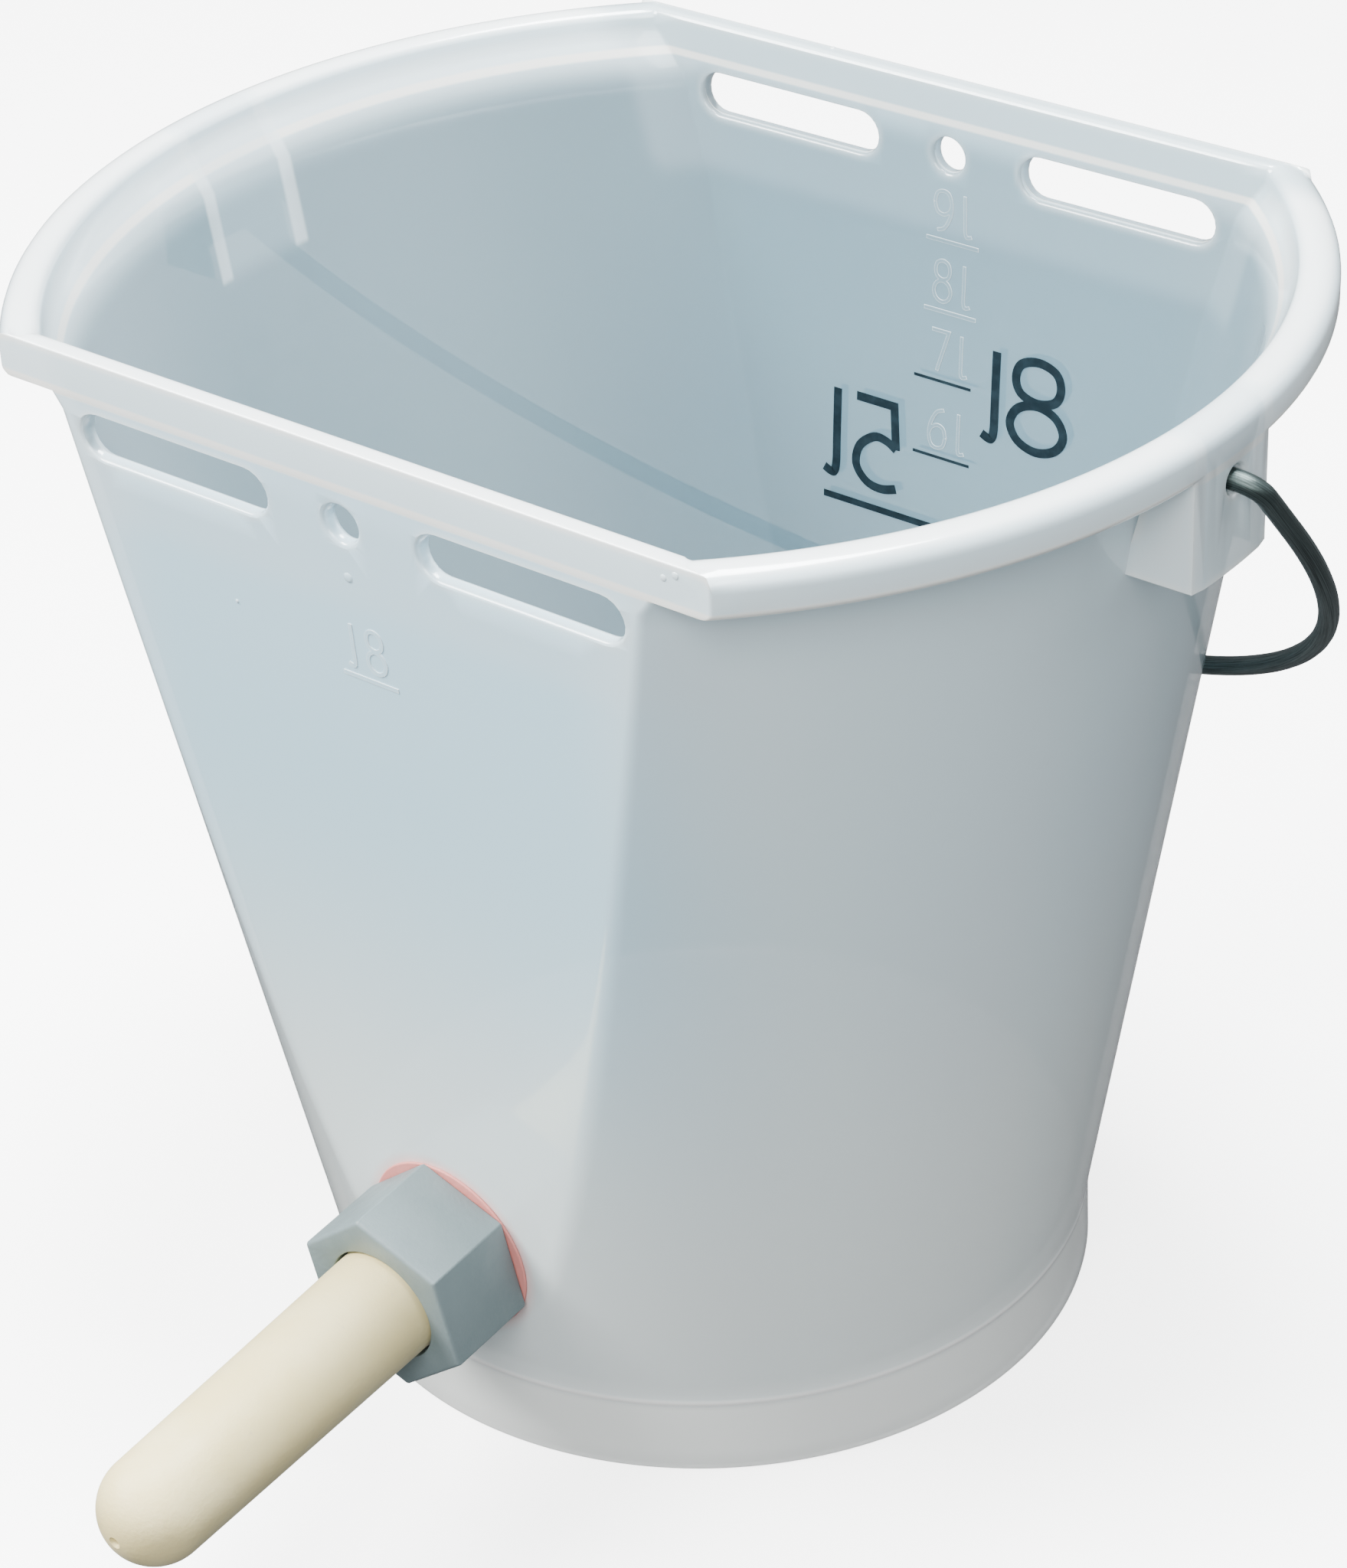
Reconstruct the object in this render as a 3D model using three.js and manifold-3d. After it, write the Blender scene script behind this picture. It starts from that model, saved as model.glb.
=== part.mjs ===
// Calf-feeding bucket with a drinking teat: a translucent moulded bucket whose round mouth is cut
// flat at the front and the back, a wire bail in two lugs under the rim, and a teat unit low on the
// front wall (valve body with ball and retainer, sealing ring, union nut, rubber teat).
// Millimetres. +Z is up, the teat points to -Y, the bail lugs lie on +X and -X, and the origin is
// the centre of the foot on the surface the bucket stands on. At rest the bail hangs behind it.
import * as THREE from "three";
import { mergeVertices } from "three/addons/utils/BufferGeometryUtils.js";
import Module from "manifold-3d";

const wasm = await Module();
wasm.setup();

// Driving dimensions of the bucket.
const HEIGHT = 285;
const FOOT_HEIGHT = 21; // the near-vertical foot ring under the tapering walls
const FOOT_RADIUS = 99.5;
const FOOT_DRAFT = 0.3; // how much smaller the ring is where the walls start
const FLAT_LEAN = 0.0729; // the flat walls move out this far for each mm up
const SIDE_LEAN = 0.159; // the curved walls do so at +X and -X
const ARC_GROWTH = 0.207; // growth of a curved wall's radius for each mm up
const WALL = 3;
const FLOOR_TOP = 21.5;
const FLOOR_UNDERSIDE = 18;
const WALL_SEGMENTS = 28; // facets round one curved wall
const WALL_LEVELS = 7; // outlines between the foot and the rim
const LEAST_FLAT = 0.02; // where the flats shrink to nothing they keep this much depth

// The rim.
const RIM_DEPTH = 10.7; // height of the skirt round the mouth
const RIM_REACH = 152.5; // centre to the skirt, along X
const RIM_ARC = 160; // radius of the curved skirts
const RIM_FLAT = 117.4; // centre to the flat rims, along Y
const RIM_TOP = 3.5; // thickness of the rolled top
const RIM_ROUND = 3.2; // rounding of its outer edge
const SKIRT = 2.5;
const MOUTH_REACH = 142.5; // centre to the mouth's edge, along X
const MOUTH_ARC = 150;
const MOUTH_FLAT = 112.3; // the flat walls' inner faces stop leaning here and run straight up
const FLARE_START = 270; // the curved walls open out to the mouth above this height

// Hanging slots and holes through both flat walls.
const SLOT_HEIGHT_UP = 265.7;
const SLOT_INNER_X = 21.7;
const SLOT_OUTER_X = 77.9;
const SLOT_WIDTH = 11.5;
const HANG_HOLE_RADIUS = 4.8;

// Bail and its lugs.
const PIVOT_Z = 269.5;
const LUG_HALF_WIDTH = 15;
const LUG_SET_IN = 0.6; // how far its outer plate stands behind the skirt's face
const LUG_DEPTH = 40; // long enough to run into the curved wall
const LUG_BOTTOM = 247.4;
const LUG_HOLE_RADIUS = 3.5;
const WIRE_RADIUS = 2.5;
const BAIL_HALF_SPAN = 158;
const BAIL_END_X = 143.5;
const BAIL_BEND = 5.5; // radius of the bend outside each lug
const BAIL_STEPS = 40; // straight pieces that make up its curve
const BAIL_STRAIGHT = 23.5; // pivot to where the arms start to curve
const BAIL_HANG_DEG = 49.4; // below horizontal, where the wire meets the back wall's creases

// Teat unit: sizes along its axis are counted outwards from the front wall's outer face.
const TEAT_AXIS_Z = 59.4;
const GAP = 0.3; // between pieces that touch
const NUT_ACROSS_FLATS = 42.9;
const NUT_TURN = 0.173; // how the hexagon stands, in radians
const NUT_REAR = 1.7;
const NUT_FRONT = 26.5;
const NUT_SHOULDER = 21.9;
const NUT_BORE = 18.8;
const NUT_MOUTH = 15.3;
const NUT_CHAMFER = 1.1;
const RING_THICKNESS = 1.1;
const RING_RADIUS = 24.2;
const WALL_HOLE_RADIUS = 18.8;
const SPIGOT_RADIUS = 18.3;
const SPIGOT_END = 17.3;
const FLANGE_RADIUS = 26;
const FLANGE_THICKNESS = 4;
const SEAT = -2; // where the narrow inlet opens into the ball's chamber
const INLET_RADIUS = 6;
const BALL_RADIUS = 7.5;
const BALL_OPEN = 6.3; // the ball's place when it lies against the retainer
const CHAMBER_RADIUS = 7.8;
const RETAINER_RADIUS = 11;
const RETAINER_REAR = 14.1;
const RETAINER_BAR = 2.2;
const TEAT_ROOT_RADIUS = 14.7;
const TEAT_TIP_RADIUS = 13.6;
const TEAT_LENGTH = 119.3; // from the wall to the tip
const TEAT_FLANGE_RADIUS = 18;
const TEAT_FLANGE_END = 21.6;
const TEAT_WALL = 3.4;
const TEAT_HOLE_RADIUS = 1;

const ROUND = 36; // facets round the small turned pieces
const CUT_LENGTH = 24; // of a cutter that goes through a wall

// ---- Solids: a three.js geometry as a manifold solid, and back ----

function solid(geometry) {
  const plain = geometry.clone();
  plain.deleteAttribute("normal");
  plain.deleteAttribute("uv");
  const merged = mergeVertices(plain, 1e-4);
  return new wasm.Manifold(
    new wasm.Mesh({
      numProp: 3,
      vertProperties: merged.attributes.position.array,
      triVerts: new Uint32Array(merged.index.array),
    }),
  );
}

function geometryOf(manifold) {
  const mesh = manifold.getMesh();
  const geometry = new THREE.BufferGeometry();
  geometry.setAttribute("position", new THREE.BufferAttribute(mesh.vertProperties, 3));
  geometry.setIndex(new THREE.BufferAttribute(mesh.triVerts, 1));
  geometry.computeVertexNormals();
  return geometry;
}

function box(x0, x1, y0, y1, z0, z1) {
  const geometry = new THREE.BoxGeometry(x1 - x0, y1 - y0, z1 - z0);
  return solid(geometry.translate((x0 + x1) / 2, (y0 + y1) / 2, (z0 + z1) / 2));
}

function rodAlongX(radius, x0, x1, y, z) {
  const geometry = new THREE.CylinderGeometry(radius, radius, x1 - x0, ROUND);
  return solid(geometry.rotateZ(Math.PI / 2).translate((x0 + x1) / 2, y, z));
}

// ---- The bucket's outline: two arcs joined by two flats, and lofts between such outlines ----

// One outline at height z: the arcs reach +-reach along X and the flats lie at +-flat along Y.
function outline(z, reach, arcRadius, flat) {
  const points = [];
  const centre = reach - arcRadius;
  const half = Math.asin(flat / arcRadius);
  for (const side of [1, -1]) {
    for (let i = 0; i <= WALL_SEGMENTS; i++) {
      const angle = half * ((2 * i) / WALL_SEGMENTS - 1);
      const x = side * (centre + arcRadius * Math.cos(angle));
      points.push(new THREE.Vector3(x, side * arcRadius * Math.sin(angle), z));
    }
  }
  return points;
}

// A closed solid through a stack of outlines, lowest first.
function loft(outlines) {
  const count = outlines[0].length;
  const positions = outlines.flat().flatMap((p) => [p.x, p.y, p.z]);
  const index = [];
  for (let level = 0; level + 1 < outlines.length; level++) {
    for (let i = 0; i < count; i++) {
      const a = level * count + i;
      const b = level * count + ((i + 1) % count);
      index.push(a, b, a + count, b, b + count, a + count);
    }
  }
  const top = (outlines.length - 1) * count;
  for (let i = 1; i + 1 < count; i++) {
    index.push(0, i + 1, i, top, top + i, top + i + 1);
  }
  const geometry = new THREE.BufferGeometry();
  geometry.setAttribute("position", new THREE.Float32BufferAttribute(positions, 3));
  geometry.setIndex(index);
  return solid(geometry);
}

// The wall's outline at height z, inset by a wall thickness or 0. Its flats never meet at a point.
function wallOutline(z, inset, widest) {
  const up = z - FOOT_HEIGHT;
  const start = FOOT_RADIUS - FOOT_DRAFT;
  const reach = start + up * SIDE_LEAN - inset;
  const arc = start + up * ARC_GROWTH - inset;
  const flat = Math.min(start + up * FLAT_LEAN - inset, widest, arc - LEAST_FLAT);
  return outline(z, reach, arc, flat);
}

// Outlines from z0 up to where the walls start to open out, then the mouth's own outline.
function wallStack(z0, inset, widest, top) {
  const stack = [];
  for (let i = 0; i <= WALL_LEVELS; i++) {
    // Closer together near the foot, where the flats widen fastest.
    const share = (i / WALL_LEVELS) ** 2;
    stack.push(wallOutline(z0 + (FLARE_START - z0) * share, inset, widest));
  }
  stack.push(outline(HEIGHT - RIM_TOP, MOUTH_REACH - inset + WALL, MOUTH_ARC - inset + WALL, widest));
  if (top > HEIGHT) stack.push(outline(top, MOUTH_REACH, MOUTH_ARC, widest));
  return stack;
}

function outerWall() {
  return loft(wallStack(FOOT_HEIGHT, 0, RIM_FLAT, HEIGHT - RIM_TOP));
}

function cavity() {
  return loft(wallStack(FLOOR_TOP, WALL, MOUTH_FLAT, HEIGHT + 1));
}

function foot() {
  const top = FOOT_RADIUS - FOOT_DRAFT;
  return loft([
    outline(0, FOOT_RADIUS, FOOT_RADIUS, FOOT_RADIUS - LEAST_FLAT),
    outline(FOOT_HEIGHT, top, top, top - LEAST_FLAT),
  ]);
}

function footRecess() {
  const radius = FOOT_RADIUS - WALL;
  const height = FLOOR_UNDERSIDE + 1;
  const geometry = new THREE.CylinderGeometry(radius - 1, radius, height, 2 * WALL_SEGMENTS);
  return solid(geometry.rotateX(Math.PI / 2).translate(0, 0, height / 2 - 1));
}

// The rim as a solid slab with a rounded outer edge along its curved sides.
function rimSlab() {
  const stack = [outline(HEIGHT - RIM_DEPTH, RIM_REACH, RIM_ARC, RIM_FLAT)];
  for (let i = 0; i <= 4; i++) {
    const angle = (Math.PI / 2) * (i / 4);
    const inset = RIM_ROUND * (1 - Math.cos(angle));
    const z = HEIGHT - RIM_ROUND * (1 - Math.sin(angle));
    stack.push(outline(z, RIM_REACH - inset, RIM_ARC - inset, RIM_FLAT - inset / 6));
  }
  return loft(stack);
}

// The space behind the skirt, open downwards.
function skirtHollow() {
  const sections = [HEIGHT - RIM_DEPTH - 1, HEIGHT - RIM_TOP].map((z) =>
    outline(z, RIM_REACH - SKIRT, RIM_ARC - SKIRT, RIM_FLAT - SKIRT),
  );
  return loft(sections);
}

function lugBlock(side) {
  const outer = RIM_REACH - LUG_SET_IN;
  const reach = [side * (outer - LUG_DEPTH), side * outer].sort((a, b) => a - b);
  const top = HEIGHT - RIM_TOP + 1;
  return box(...reach, -LUG_HALF_WIDTH, LUG_HALF_WIDTH, LUG_BOTTOM, top);
}

// The hollow inside a lug, open downwards and into the space behind the skirt.
function lugHollow(side) {
  const outer = RIM_REACH - LUG_SET_IN - SKIRT;
  const reach = [side * (outer - LUG_DEPTH), side * outer].sort((a, b) => a - b);
  const half = LUG_HALF_WIDTH - SKIRT;
  return box(...reach, -half, half, LUG_BOTTOM - 1, HEIGHT - RIM_TOP);
}

// ---- Cuts square to a leaning flat wall ----

const LEAN_ANGLE = Math.atan(FLAT_LEAN);

// Y of a flat wall's outer face at height z, on the +Y side.
function flatFaceY(z) {
  return FOOT_RADIUS - FOOT_DRAFT + (z - FOOT_HEIGHT) * FLAT_LEAN;
}

// Places geometry drawn along Z so that Z points straight out of a flat wall, side being -1 for
// the front and +1 for the back. The origin goes to the wall's outer face at height z.
function onFlatWall(geometry, side, z) {
  const tilt = side > 0 ? -Math.PI / 2 - LEAN_ANGLE : Math.PI / 2 + LEAN_ANGLE;
  return geometry.rotateX(tilt).translate(0, side * flatFaceY(z), z);
}

function slotShape(x0, x1) {
  const r = SLOT_WIDTH / 2;
  const shape = new THREE.Shape();
  shape.absarc(x1 - r, 0, r, -Math.PI / 2, Math.PI / 2, false);
  shape.absarc(x0 + r, 0, r, Math.PI / 2, (3 * Math.PI) / 2, false);
  return shape;
}

function wallCuts() {
  const cuts = [];
  const through = { depth: CUT_LENGTH, bevelEnabled: false, curveSegments: 8 };
  for (const side of [-1, 1]) {
    for (const [x0, x1] of [
      [SLOT_INNER_X, SLOT_OUTER_X],
      [-SLOT_OUTER_X, -SLOT_INNER_X],
    ]) {
      const slot = new THREE.ExtrudeGeometry(slotShape(x0, x1), through);
      cuts.push(solid(onFlatWall(slot.translate(0, 0, -CUT_LENGTH / 2), side, SLOT_HEIGHT_UP)));
    }
    const hole = new THREE.CylinderGeometry(HANG_HOLE_RADIUS, HANG_HOLE_RADIUS, CUT_LENGTH, 20);
    cuts.push(solid(onFlatWall(hole.rotateX(Math.PI / 2), side, SLOT_HEIGHT_UP)));
  }
  const valve = new THREE.CylinderGeometry(WALL_HOLE_RADIUS, WALL_HOLE_RADIUS, CUT_LENGTH, ROUND);
  cuts.push(solid(onFlatWall(valve.rotateX(Math.PI / 2), -1, TEAT_AXIS_Z)));
  for (const side of [-1, 1]) {
    const reach = [side * (RIM_REACH - 6), side * (RIM_REACH + 6)].sort((a, b) => a - b);
    cuts.push(rodAlongX(LUG_HOLE_RADIUS, ...reach, 0, PIVOT_Z));
  }
  return cuts;
}

function bucketBody() {
  const wall = outerWall();
  let body = rimSlab();
  for (const side of [-1, 1]) body = body.add(lugBlock(side));
  body = body.subtract(skirtHollow());
  for (const side of [-1, 1]) body = body.subtract(lugHollow(side));
  // What the hollows took out between the lugs' plates is walled again by the bucket itself.
  body = body.add(lugPlates()).add(wall).add(foot());
  body = body.subtract(cavity()).subtract(footRecess());
  for (const cut of wallCuts()) body = body.subtract(cut);
  return body;
}

// The lugs' three plates, which run up through the space behind the skirt.
function lugPlates() {
  return lugBlock(1)
    .subtract(lugHollow(1))
    .add(lugBlock(-1).subtract(lugHollow(-1)));
}

// ---- Bail ----

// The wire's centre line in the plane of the bail: x across, y away from the pivots.
function bailPath() {
  const corner = BAIL_HALF_SPAN - BAIL_BEND;
  const bendPoint = (side, share) => {
    const angle = (Math.PI / 2) * share;
    const x = side * (corner + BAIL_BEND * Math.sin(angle));
    return new THREE.Vector3(x, BAIL_BEND * (1 - Math.cos(angle)), 0);
  };
  const points = [new THREE.Vector3(-BAIL_END_X, 0, 0)];
  for (let i = 0; i <= 4; i++) points.push(bendPoint(-1, i / 4));
  for (let i = 0; i <= BAIL_STEPS; i++) {
    const angle = Math.PI * (1 - i / BAIL_STEPS);
    const x = BAIL_HALF_SPAN * Math.cos(angle);
    points.push(new THREE.Vector3(x, BAIL_STRAIGHT + BAIL_HALF_SPAN * Math.sin(angle), 0));
  }
  for (let i = 4; i >= 0; i--) points.push(bendPoint(1, i / 4));
  points.push(new THREE.Vector3(BAIL_END_X, 0, 0));
  const path = new THREE.CurvePath();
  for (let i = 1; i < points.length; i++) {
    path.add(new THREE.LineCurve3(points[i - 1], points[i]));
  }
  return path;
}

function bailGeometry() {
  const section = new THREE.Shape().absarc(0, 0, WIRE_RADIUS, 0, 2 * Math.PI, false);
  return new THREE.ExtrudeGeometry(section, {
    steps: 96,
    curveSegments: 4,
    extrudePath: bailPath(),
  });
}

// ---- Teat unit: turned pieces drawn about Z, which points out along the teat ----

function turned(points, segments = ROUND) {
  return new THREE.LatheGeometry(
    points.map(([r, z]) => new THREE.Vector2(r, z)),
    segments,
  ).rotateX(Math.PI / 2);
}

function sealingRingGeometry() {
  const rear = GAP;
  const front = GAP + RING_THICKNESS;
  const inner = SPIGOT_RADIUS + GAP;
  return turned([
    [inner, rear],
    [RING_RADIUS, rear],
    [RING_RADIUS, front],
    [inner, front],
    [inner, rear],
  ]);
}

function valveBodyGeometry() {
  const rear = -WALL - GAP - FLANGE_THICKNESS;
  const step = RETAINER_REAR - GAP;
  return turned([
    [INLET_RADIUS, rear],
    [FLANGE_RADIUS - 1, rear],
    [FLANGE_RADIUS, rear + 1],
    [FLANGE_RADIUS, rear + FLANGE_THICKNESS],
    [SPIGOT_RADIUS, rear + FLANGE_THICKNESS],
    [SPIGOT_RADIUS, SPIGOT_END],
    [RETAINER_RADIUS + GAP, SPIGOT_END],
    [RETAINER_RADIUS + GAP, step],
    [CHAMBER_RADIUS, step],
    [CHAMBER_RADIUS, SEAT + 1.5],
    [INLET_RADIUS, SEAT],
    [INLET_RADIUS, rear],
  ]);
}

function ballGeometry() {
  return new THREE.SphereGeometry(BALL_RADIUS, 24, 12).translate(0, 0, BALL_OPEN);
}

// A ring with a cross of two bars that keeps the ball in and lets the milk past.
function retainerGeometry() {
  const thickness = SPIGOT_END - RETAINER_REAR;
  const inner = RETAINER_RADIUS - RETAINER_BAR;
  let cage = solid(
    turned([
      [inner, RETAINER_REAR],
      [RETAINER_RADIUS, RETAINER_REAR],
      [RETAINER_RADIUS, SPIGOT_END],
      [inner, SPIGOT_END],
      [inner, RETAINER_REAR],
    ]),
  );
  for (const turn of [0, Math.PI / 2]) {
    const bar = new THREE.BoxGeometry(2 * inner + 2, RETAINER_BAR, thickness);
    cage = cage.add(solid(bar.rotateZ(turn).translate(0, 0, RETAINER_REAR + thickness / 2)));
  }
  return geometryOf(cage);
}

function nutGeometry() {
  const corner = NUT_ACROSS_FLATS / Math.sqrt(3);
  const length = NUT_FRONT - NUT_REAR;
  const hexagon = new THREE.CylinderGeometry(corner, corner, length, 6);
  const block = solid(
    hexagon
      .rotateX(Math.PI / 2)
      .rotateZ(Math.PI + NUT_TURN)
      .translate(0, 0, NUT_REAR + length / 2),
  );
  const rounding = solid(
    turned([
      [0, NUT_REAR - 1],
      [corner + 1, NUT_REAR - 1],
      [corner + 1, NUT_FRONT - 2 * NUT_CHAMFER],
      [corner - NUT_CHAMFER, NUT_FRONT],
      [0, NUT_FRONT],
    ]),
  );
  const bore = solid(
    turned([
      [0, NUT_REAR - 1],
      [NUT_BORE, NUT_REAR - 1],
      [NUT_BORE, NUT_SHOULDER],
      [NUT_MOUTH, NUT_SHOULDER],
      [NUT_MOUTH, NUT_FRONT + 1],
      [0, NUT_FRONT + 1],
    ]),
  );
  return geometryOf(block.intersect(rounding).subtract(bore));
}

// Outline points of a round tip: from the side of a cap of radius r centred at z to its pole side.
function capArc(radius, z, from, to, steps) {
  const points = [];
  for (let i = 0; i <= steps; i++) {
    const angle = from + ((to - from) * i) / steps;
    points.push([radius * Math.cos(angle), z + radius * Math.sin(angle)]);
  }
  return points;
}

function teatGeometry() {
  const rear = SPIGOT_END + GAP;
  const tipCentre = TEAT_LENGTH - TEAT_TIP_RADIUS;
  const inner = TEAT_TIP_RADIUS - TEAT_WALL;
  const hole = Math.asin(Math.sqrt(1 - (TEAT_HOLE_RADIUS / TEAT_TIP_RADIUS) ** 2));
  const innerHole = Math.asin(Math.sqrt(1 - (TEAT_HOLE_RADIUS / inner) ** 2));
  const profile = [
    [TEAT_ROOT_RADIUS - TEAT_WALL, rear],
    [TEAT_FLANGE_RADIUS, rear],
    [TEAT_FLANGE_RADIUS, TEAT_FLANGE_END],
    [TEAT_ROOT_RADIUS, TEAT_FLANGE_END],
    [TEAT_ROOT_RADIUS, NUT_FRONT],
    ...capArc(TEAT_TIP_RADIUS, tipCentre, 0, hole, 9),
    ...capArc(inner, tipCentre, innerHole, 0, 6),
    [TEAT_ROOT_RADIUS - TEAT_WALL, rear],
  ];
  return turned(profile);
}

// ---- Materials and the assembly ----

function plastic(color, roughness, extra = {}) {
  return new THREE.MeshStandardMaterial({ color, roughness, metalness: 0, ...extra });
}

const clearPlastic = plastic(0xc9d4da, 0.35, { transparent: true, opacity: 0.75 });
const greyPlastic = plastic(0x8f9da2, 0.45);
const whitePlastic = plastic(0xe6e8e6, 0.4);
const creamRubber = plastic(0xddd5bd, 0.55);
const redRubber = plastic(0xb83a3c, 0.6);
const wireSteel = new THREE.MeshStandardMaterial({ color: 0x8b9596, roughness: 0.4, metalness: 1 });

function named(name, geometry, material) {
  const mesh = new THREE.Mesh(geometry, material);
  mesh.name = name;
  return mesh;
}

const bucket = new THREE.Group();
bucket.add(named("bucket_body", geometryOf(bucketBody()), clearPlastic));

const bail = new THREE.Group();
bail.position.set(0, 0, PIVOT_Z);
bail.rotation.x = -THREE.MathUtils.degToRad(BAIL_HANG_DEG);
bail.add(named("bail_handle", bailGeometry(), wireSteel));
bucket.add(bail);

// The teat unit stands square to the leaning front wall.
const teatUnit = new THREE.Group();
teatUnit.position.set(0, -flatFaceY(TEAT_AXIS_Z), TEAT_AXIS_Z);
teatUnit.rotation.x = Math.PI / 2 + LEAN_ANGLE;
teatUnit.add(named("sealing_ring", sealingRingGeometry(), redRubber));
teatUnit.add(named("valve_body", valveBodyGeometry(), greyPlastic));
teatUnit.add(named("valve_ball", ballGeometry(), whitePlastic));
teatUnit.add(named("ball_retainer", retainerGeometry(), whitePlastic));
teatUnit.add(named("union_nut", nutGeometry(), greyPlastic));
teatUnit.add(named("teat", teatGeometry(), creamRubber));
bucket.add(teatUnit);

export default bucket;
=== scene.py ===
import math

import bmesh
import bpy
import numpy as np
from mathutils import Matrix, Vector


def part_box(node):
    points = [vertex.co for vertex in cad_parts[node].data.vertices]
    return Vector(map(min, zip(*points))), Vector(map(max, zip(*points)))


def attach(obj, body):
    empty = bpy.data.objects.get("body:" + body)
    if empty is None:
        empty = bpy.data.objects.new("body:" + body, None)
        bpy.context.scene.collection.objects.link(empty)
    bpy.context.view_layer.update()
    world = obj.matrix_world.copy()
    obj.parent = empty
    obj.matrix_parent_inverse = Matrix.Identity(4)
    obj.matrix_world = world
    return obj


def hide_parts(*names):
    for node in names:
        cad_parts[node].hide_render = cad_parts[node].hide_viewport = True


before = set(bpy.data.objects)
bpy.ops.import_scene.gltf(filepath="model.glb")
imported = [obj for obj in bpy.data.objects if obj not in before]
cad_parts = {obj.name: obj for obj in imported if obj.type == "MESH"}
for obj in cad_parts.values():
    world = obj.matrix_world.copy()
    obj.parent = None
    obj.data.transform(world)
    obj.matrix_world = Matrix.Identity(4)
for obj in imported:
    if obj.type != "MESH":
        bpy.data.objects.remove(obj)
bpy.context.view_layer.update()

# Lengths below are in millimetres, in the frame's axes. Meshes are scaled by MM when they are made.
MM = 0.001
low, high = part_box("bucket_body")
HEIGHT = high.z / MM
RIM_REACH = high.x / MM  # centre to the skirt of the rim, along X
RIM_FLAT = high.y / MM  # centre to the flat rims, along Y

# The bucket's shape, as the CAD model has it.
FOOT_HEIGHT = 21.0
FOOT_RADIUS = 99.5
FOOT_TOP_RADIUS = 99.2
FLOOR_TOP = 21.5
FLOOR_UNDERSIDE = 18.0
FLAT_LEAN = 0.0729
SIDE_LEAN = 0.159
ARC_GROWTH = 0.207
WALL = 3.0
FLARE_START = 270.0
RIM_DEPTH = 10.7
RIM_ARC = 160.0
MOUTH_REACH = 142.5
MOUTH_ARC = 150.0
MOUTH_FLAT = 112.3
MOUTH_ARC_MORE = MOUTH_ARC - MOUTH_REACH  # how far the arc's radius is over its reach at the mouth
RIM_TOP = 3.5
SKIRT = 2.5
SLOT_Z = 265.7
SLOT_HALF = 5.75
SLOT_CENTRE_X = 49.8
SLOT_REACH = 28.1  # from the slot's centre to its round ends
HANG_HOLE_RADIUS = 4.8
PIVOT_Z = 269.5
LUG_HALF_WIDTH = 15.0
LUG_BOTTOM = 247.4
LUG_TOP = 279.4
LUG_HOLE_RADIUS = 3.5
TEAT_Z = 59.4
VALVE_HOLE_RADIUS = 18.8
CUT_DEPTH = 9.0  # through a wall from its outer face
INNER_CUT_DEPTH = 1.5  # only the lip on its inner face

# Facets of the bucket's outline, in one quarter of it.
ARC_STEPS = 30
CREASE_STEPS = 7
FLAT_STEPS = 12

LEAN_ANGLE = math.atan(FLAT_LEAN)
BODY_SHARP_DEG = 30  # edges over this angle stay sharp on the bucket
TAU = 2 * math.pi


# ---- Meshes ----


def new_object(name, points, faces, sharp_deg=34):
    """A smooth-shaded mesh object from points in millimetres, with edges over sharp_deg kept sharp."""
    mesh = bpy.data.meshes.new(name)
    mesh.from_pydata([tuple(p) for p in np.asarray(points) * MM], [], faces)
    mesh.update()
    piece = bpy.data.objects.new(name, mesh)
    bpy.context.scene.collection.objects.link(piece)
    face_outwards(piece)
    shade(piece, sharp_deg)
    return piece


def face_outwards(piece):
    bm = bmesh.new()
    bm.from_mesh(piece.data)
    bmesh.ops.recalc_face_normals(bm, faces=bm.faces)
    bm.to_mesh(piece.data)
    bm.free()


def shade(piece, sharp_deg):
    piece.data.shade_smooth()
    piece.data.set_sharp_from_angle(angle=math.radians(sharp_deg))


def closed_tube(rings, loop=False):
    """Points and faces of a closed surface through rings of equal length.

    A loop's last ring joins its first. Otherwise there is a flat face on each end.
    """
    count = len(rings[0])
    points = np.concatenate(rings)
    faces = []
    for level in range(len(rings) if loop else len(rings) - 1):
        low_ring = level * count
        high_ring = (level + 1) % len(rings) * count
        for i in range(count):
            j = (i + 1) % count
            faces.append((low_ring + i, low_ring + j, high_ring + j, high_ring + i))
    if not loop:
        faces.append(tuple(reversed(range(count))))
        last = (len(rings) - 1) * count
        faces.append(tuple(range(last, last + count)))
    return points, faces


def boolean(target, other, operation, sharp_deg=34):
    """Joins other to target or cuts it away, and removes other."""
    modifier = target.modifiers.new("join", "BOOLEAN")
    modifier.operation = operation
    modifier.solver = "MANIFOLD"
    modifier.object = other
    shown = target.evaluated_get(bpy.context.evaluated_depsgraph_get())
    mesh = bpy.data.meshes.new_from_object(shown)
    target.modifiers.clear()
    target.data = mesh
    bpy.data.objects.remove(other)
    shade(target, sharp_deg)


def turned(name, profile, steps):
    """A closed profile of (radius, distance) points turned about Z. Radius 0 closes on the axis."""
    profile = np.array(profile, float)
    angles = np.arange(steps) * TAU / steps
    points, faces = [], []
    index = []
    for radius, along in profile:
        if radius == 0:
            index.append([len(points)] * steps)
            points.append((0, 0, along))
        else:
            index.append(list(range(len(points), len(points) + steps)))
            points += [(radius * math.cos(a), radius * math.sin(a), along) for a in angles]
    pairs = list(zip(index, index[1:]))
    if profile[0][0] > 0:
        pairs.append((index[-1], index[0]))
    for lower, upper in pairs:
        for i in range(steps):
            j = (i + 1) % steps
            face = []
            for v in (lower[i], lower[j], upper[j], upper[i]):
                if v not in face:
                    face.append(v)
            if len(face) > 2:
                faces.append(tuple(face))
    return new_object(name, points, faces)


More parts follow.
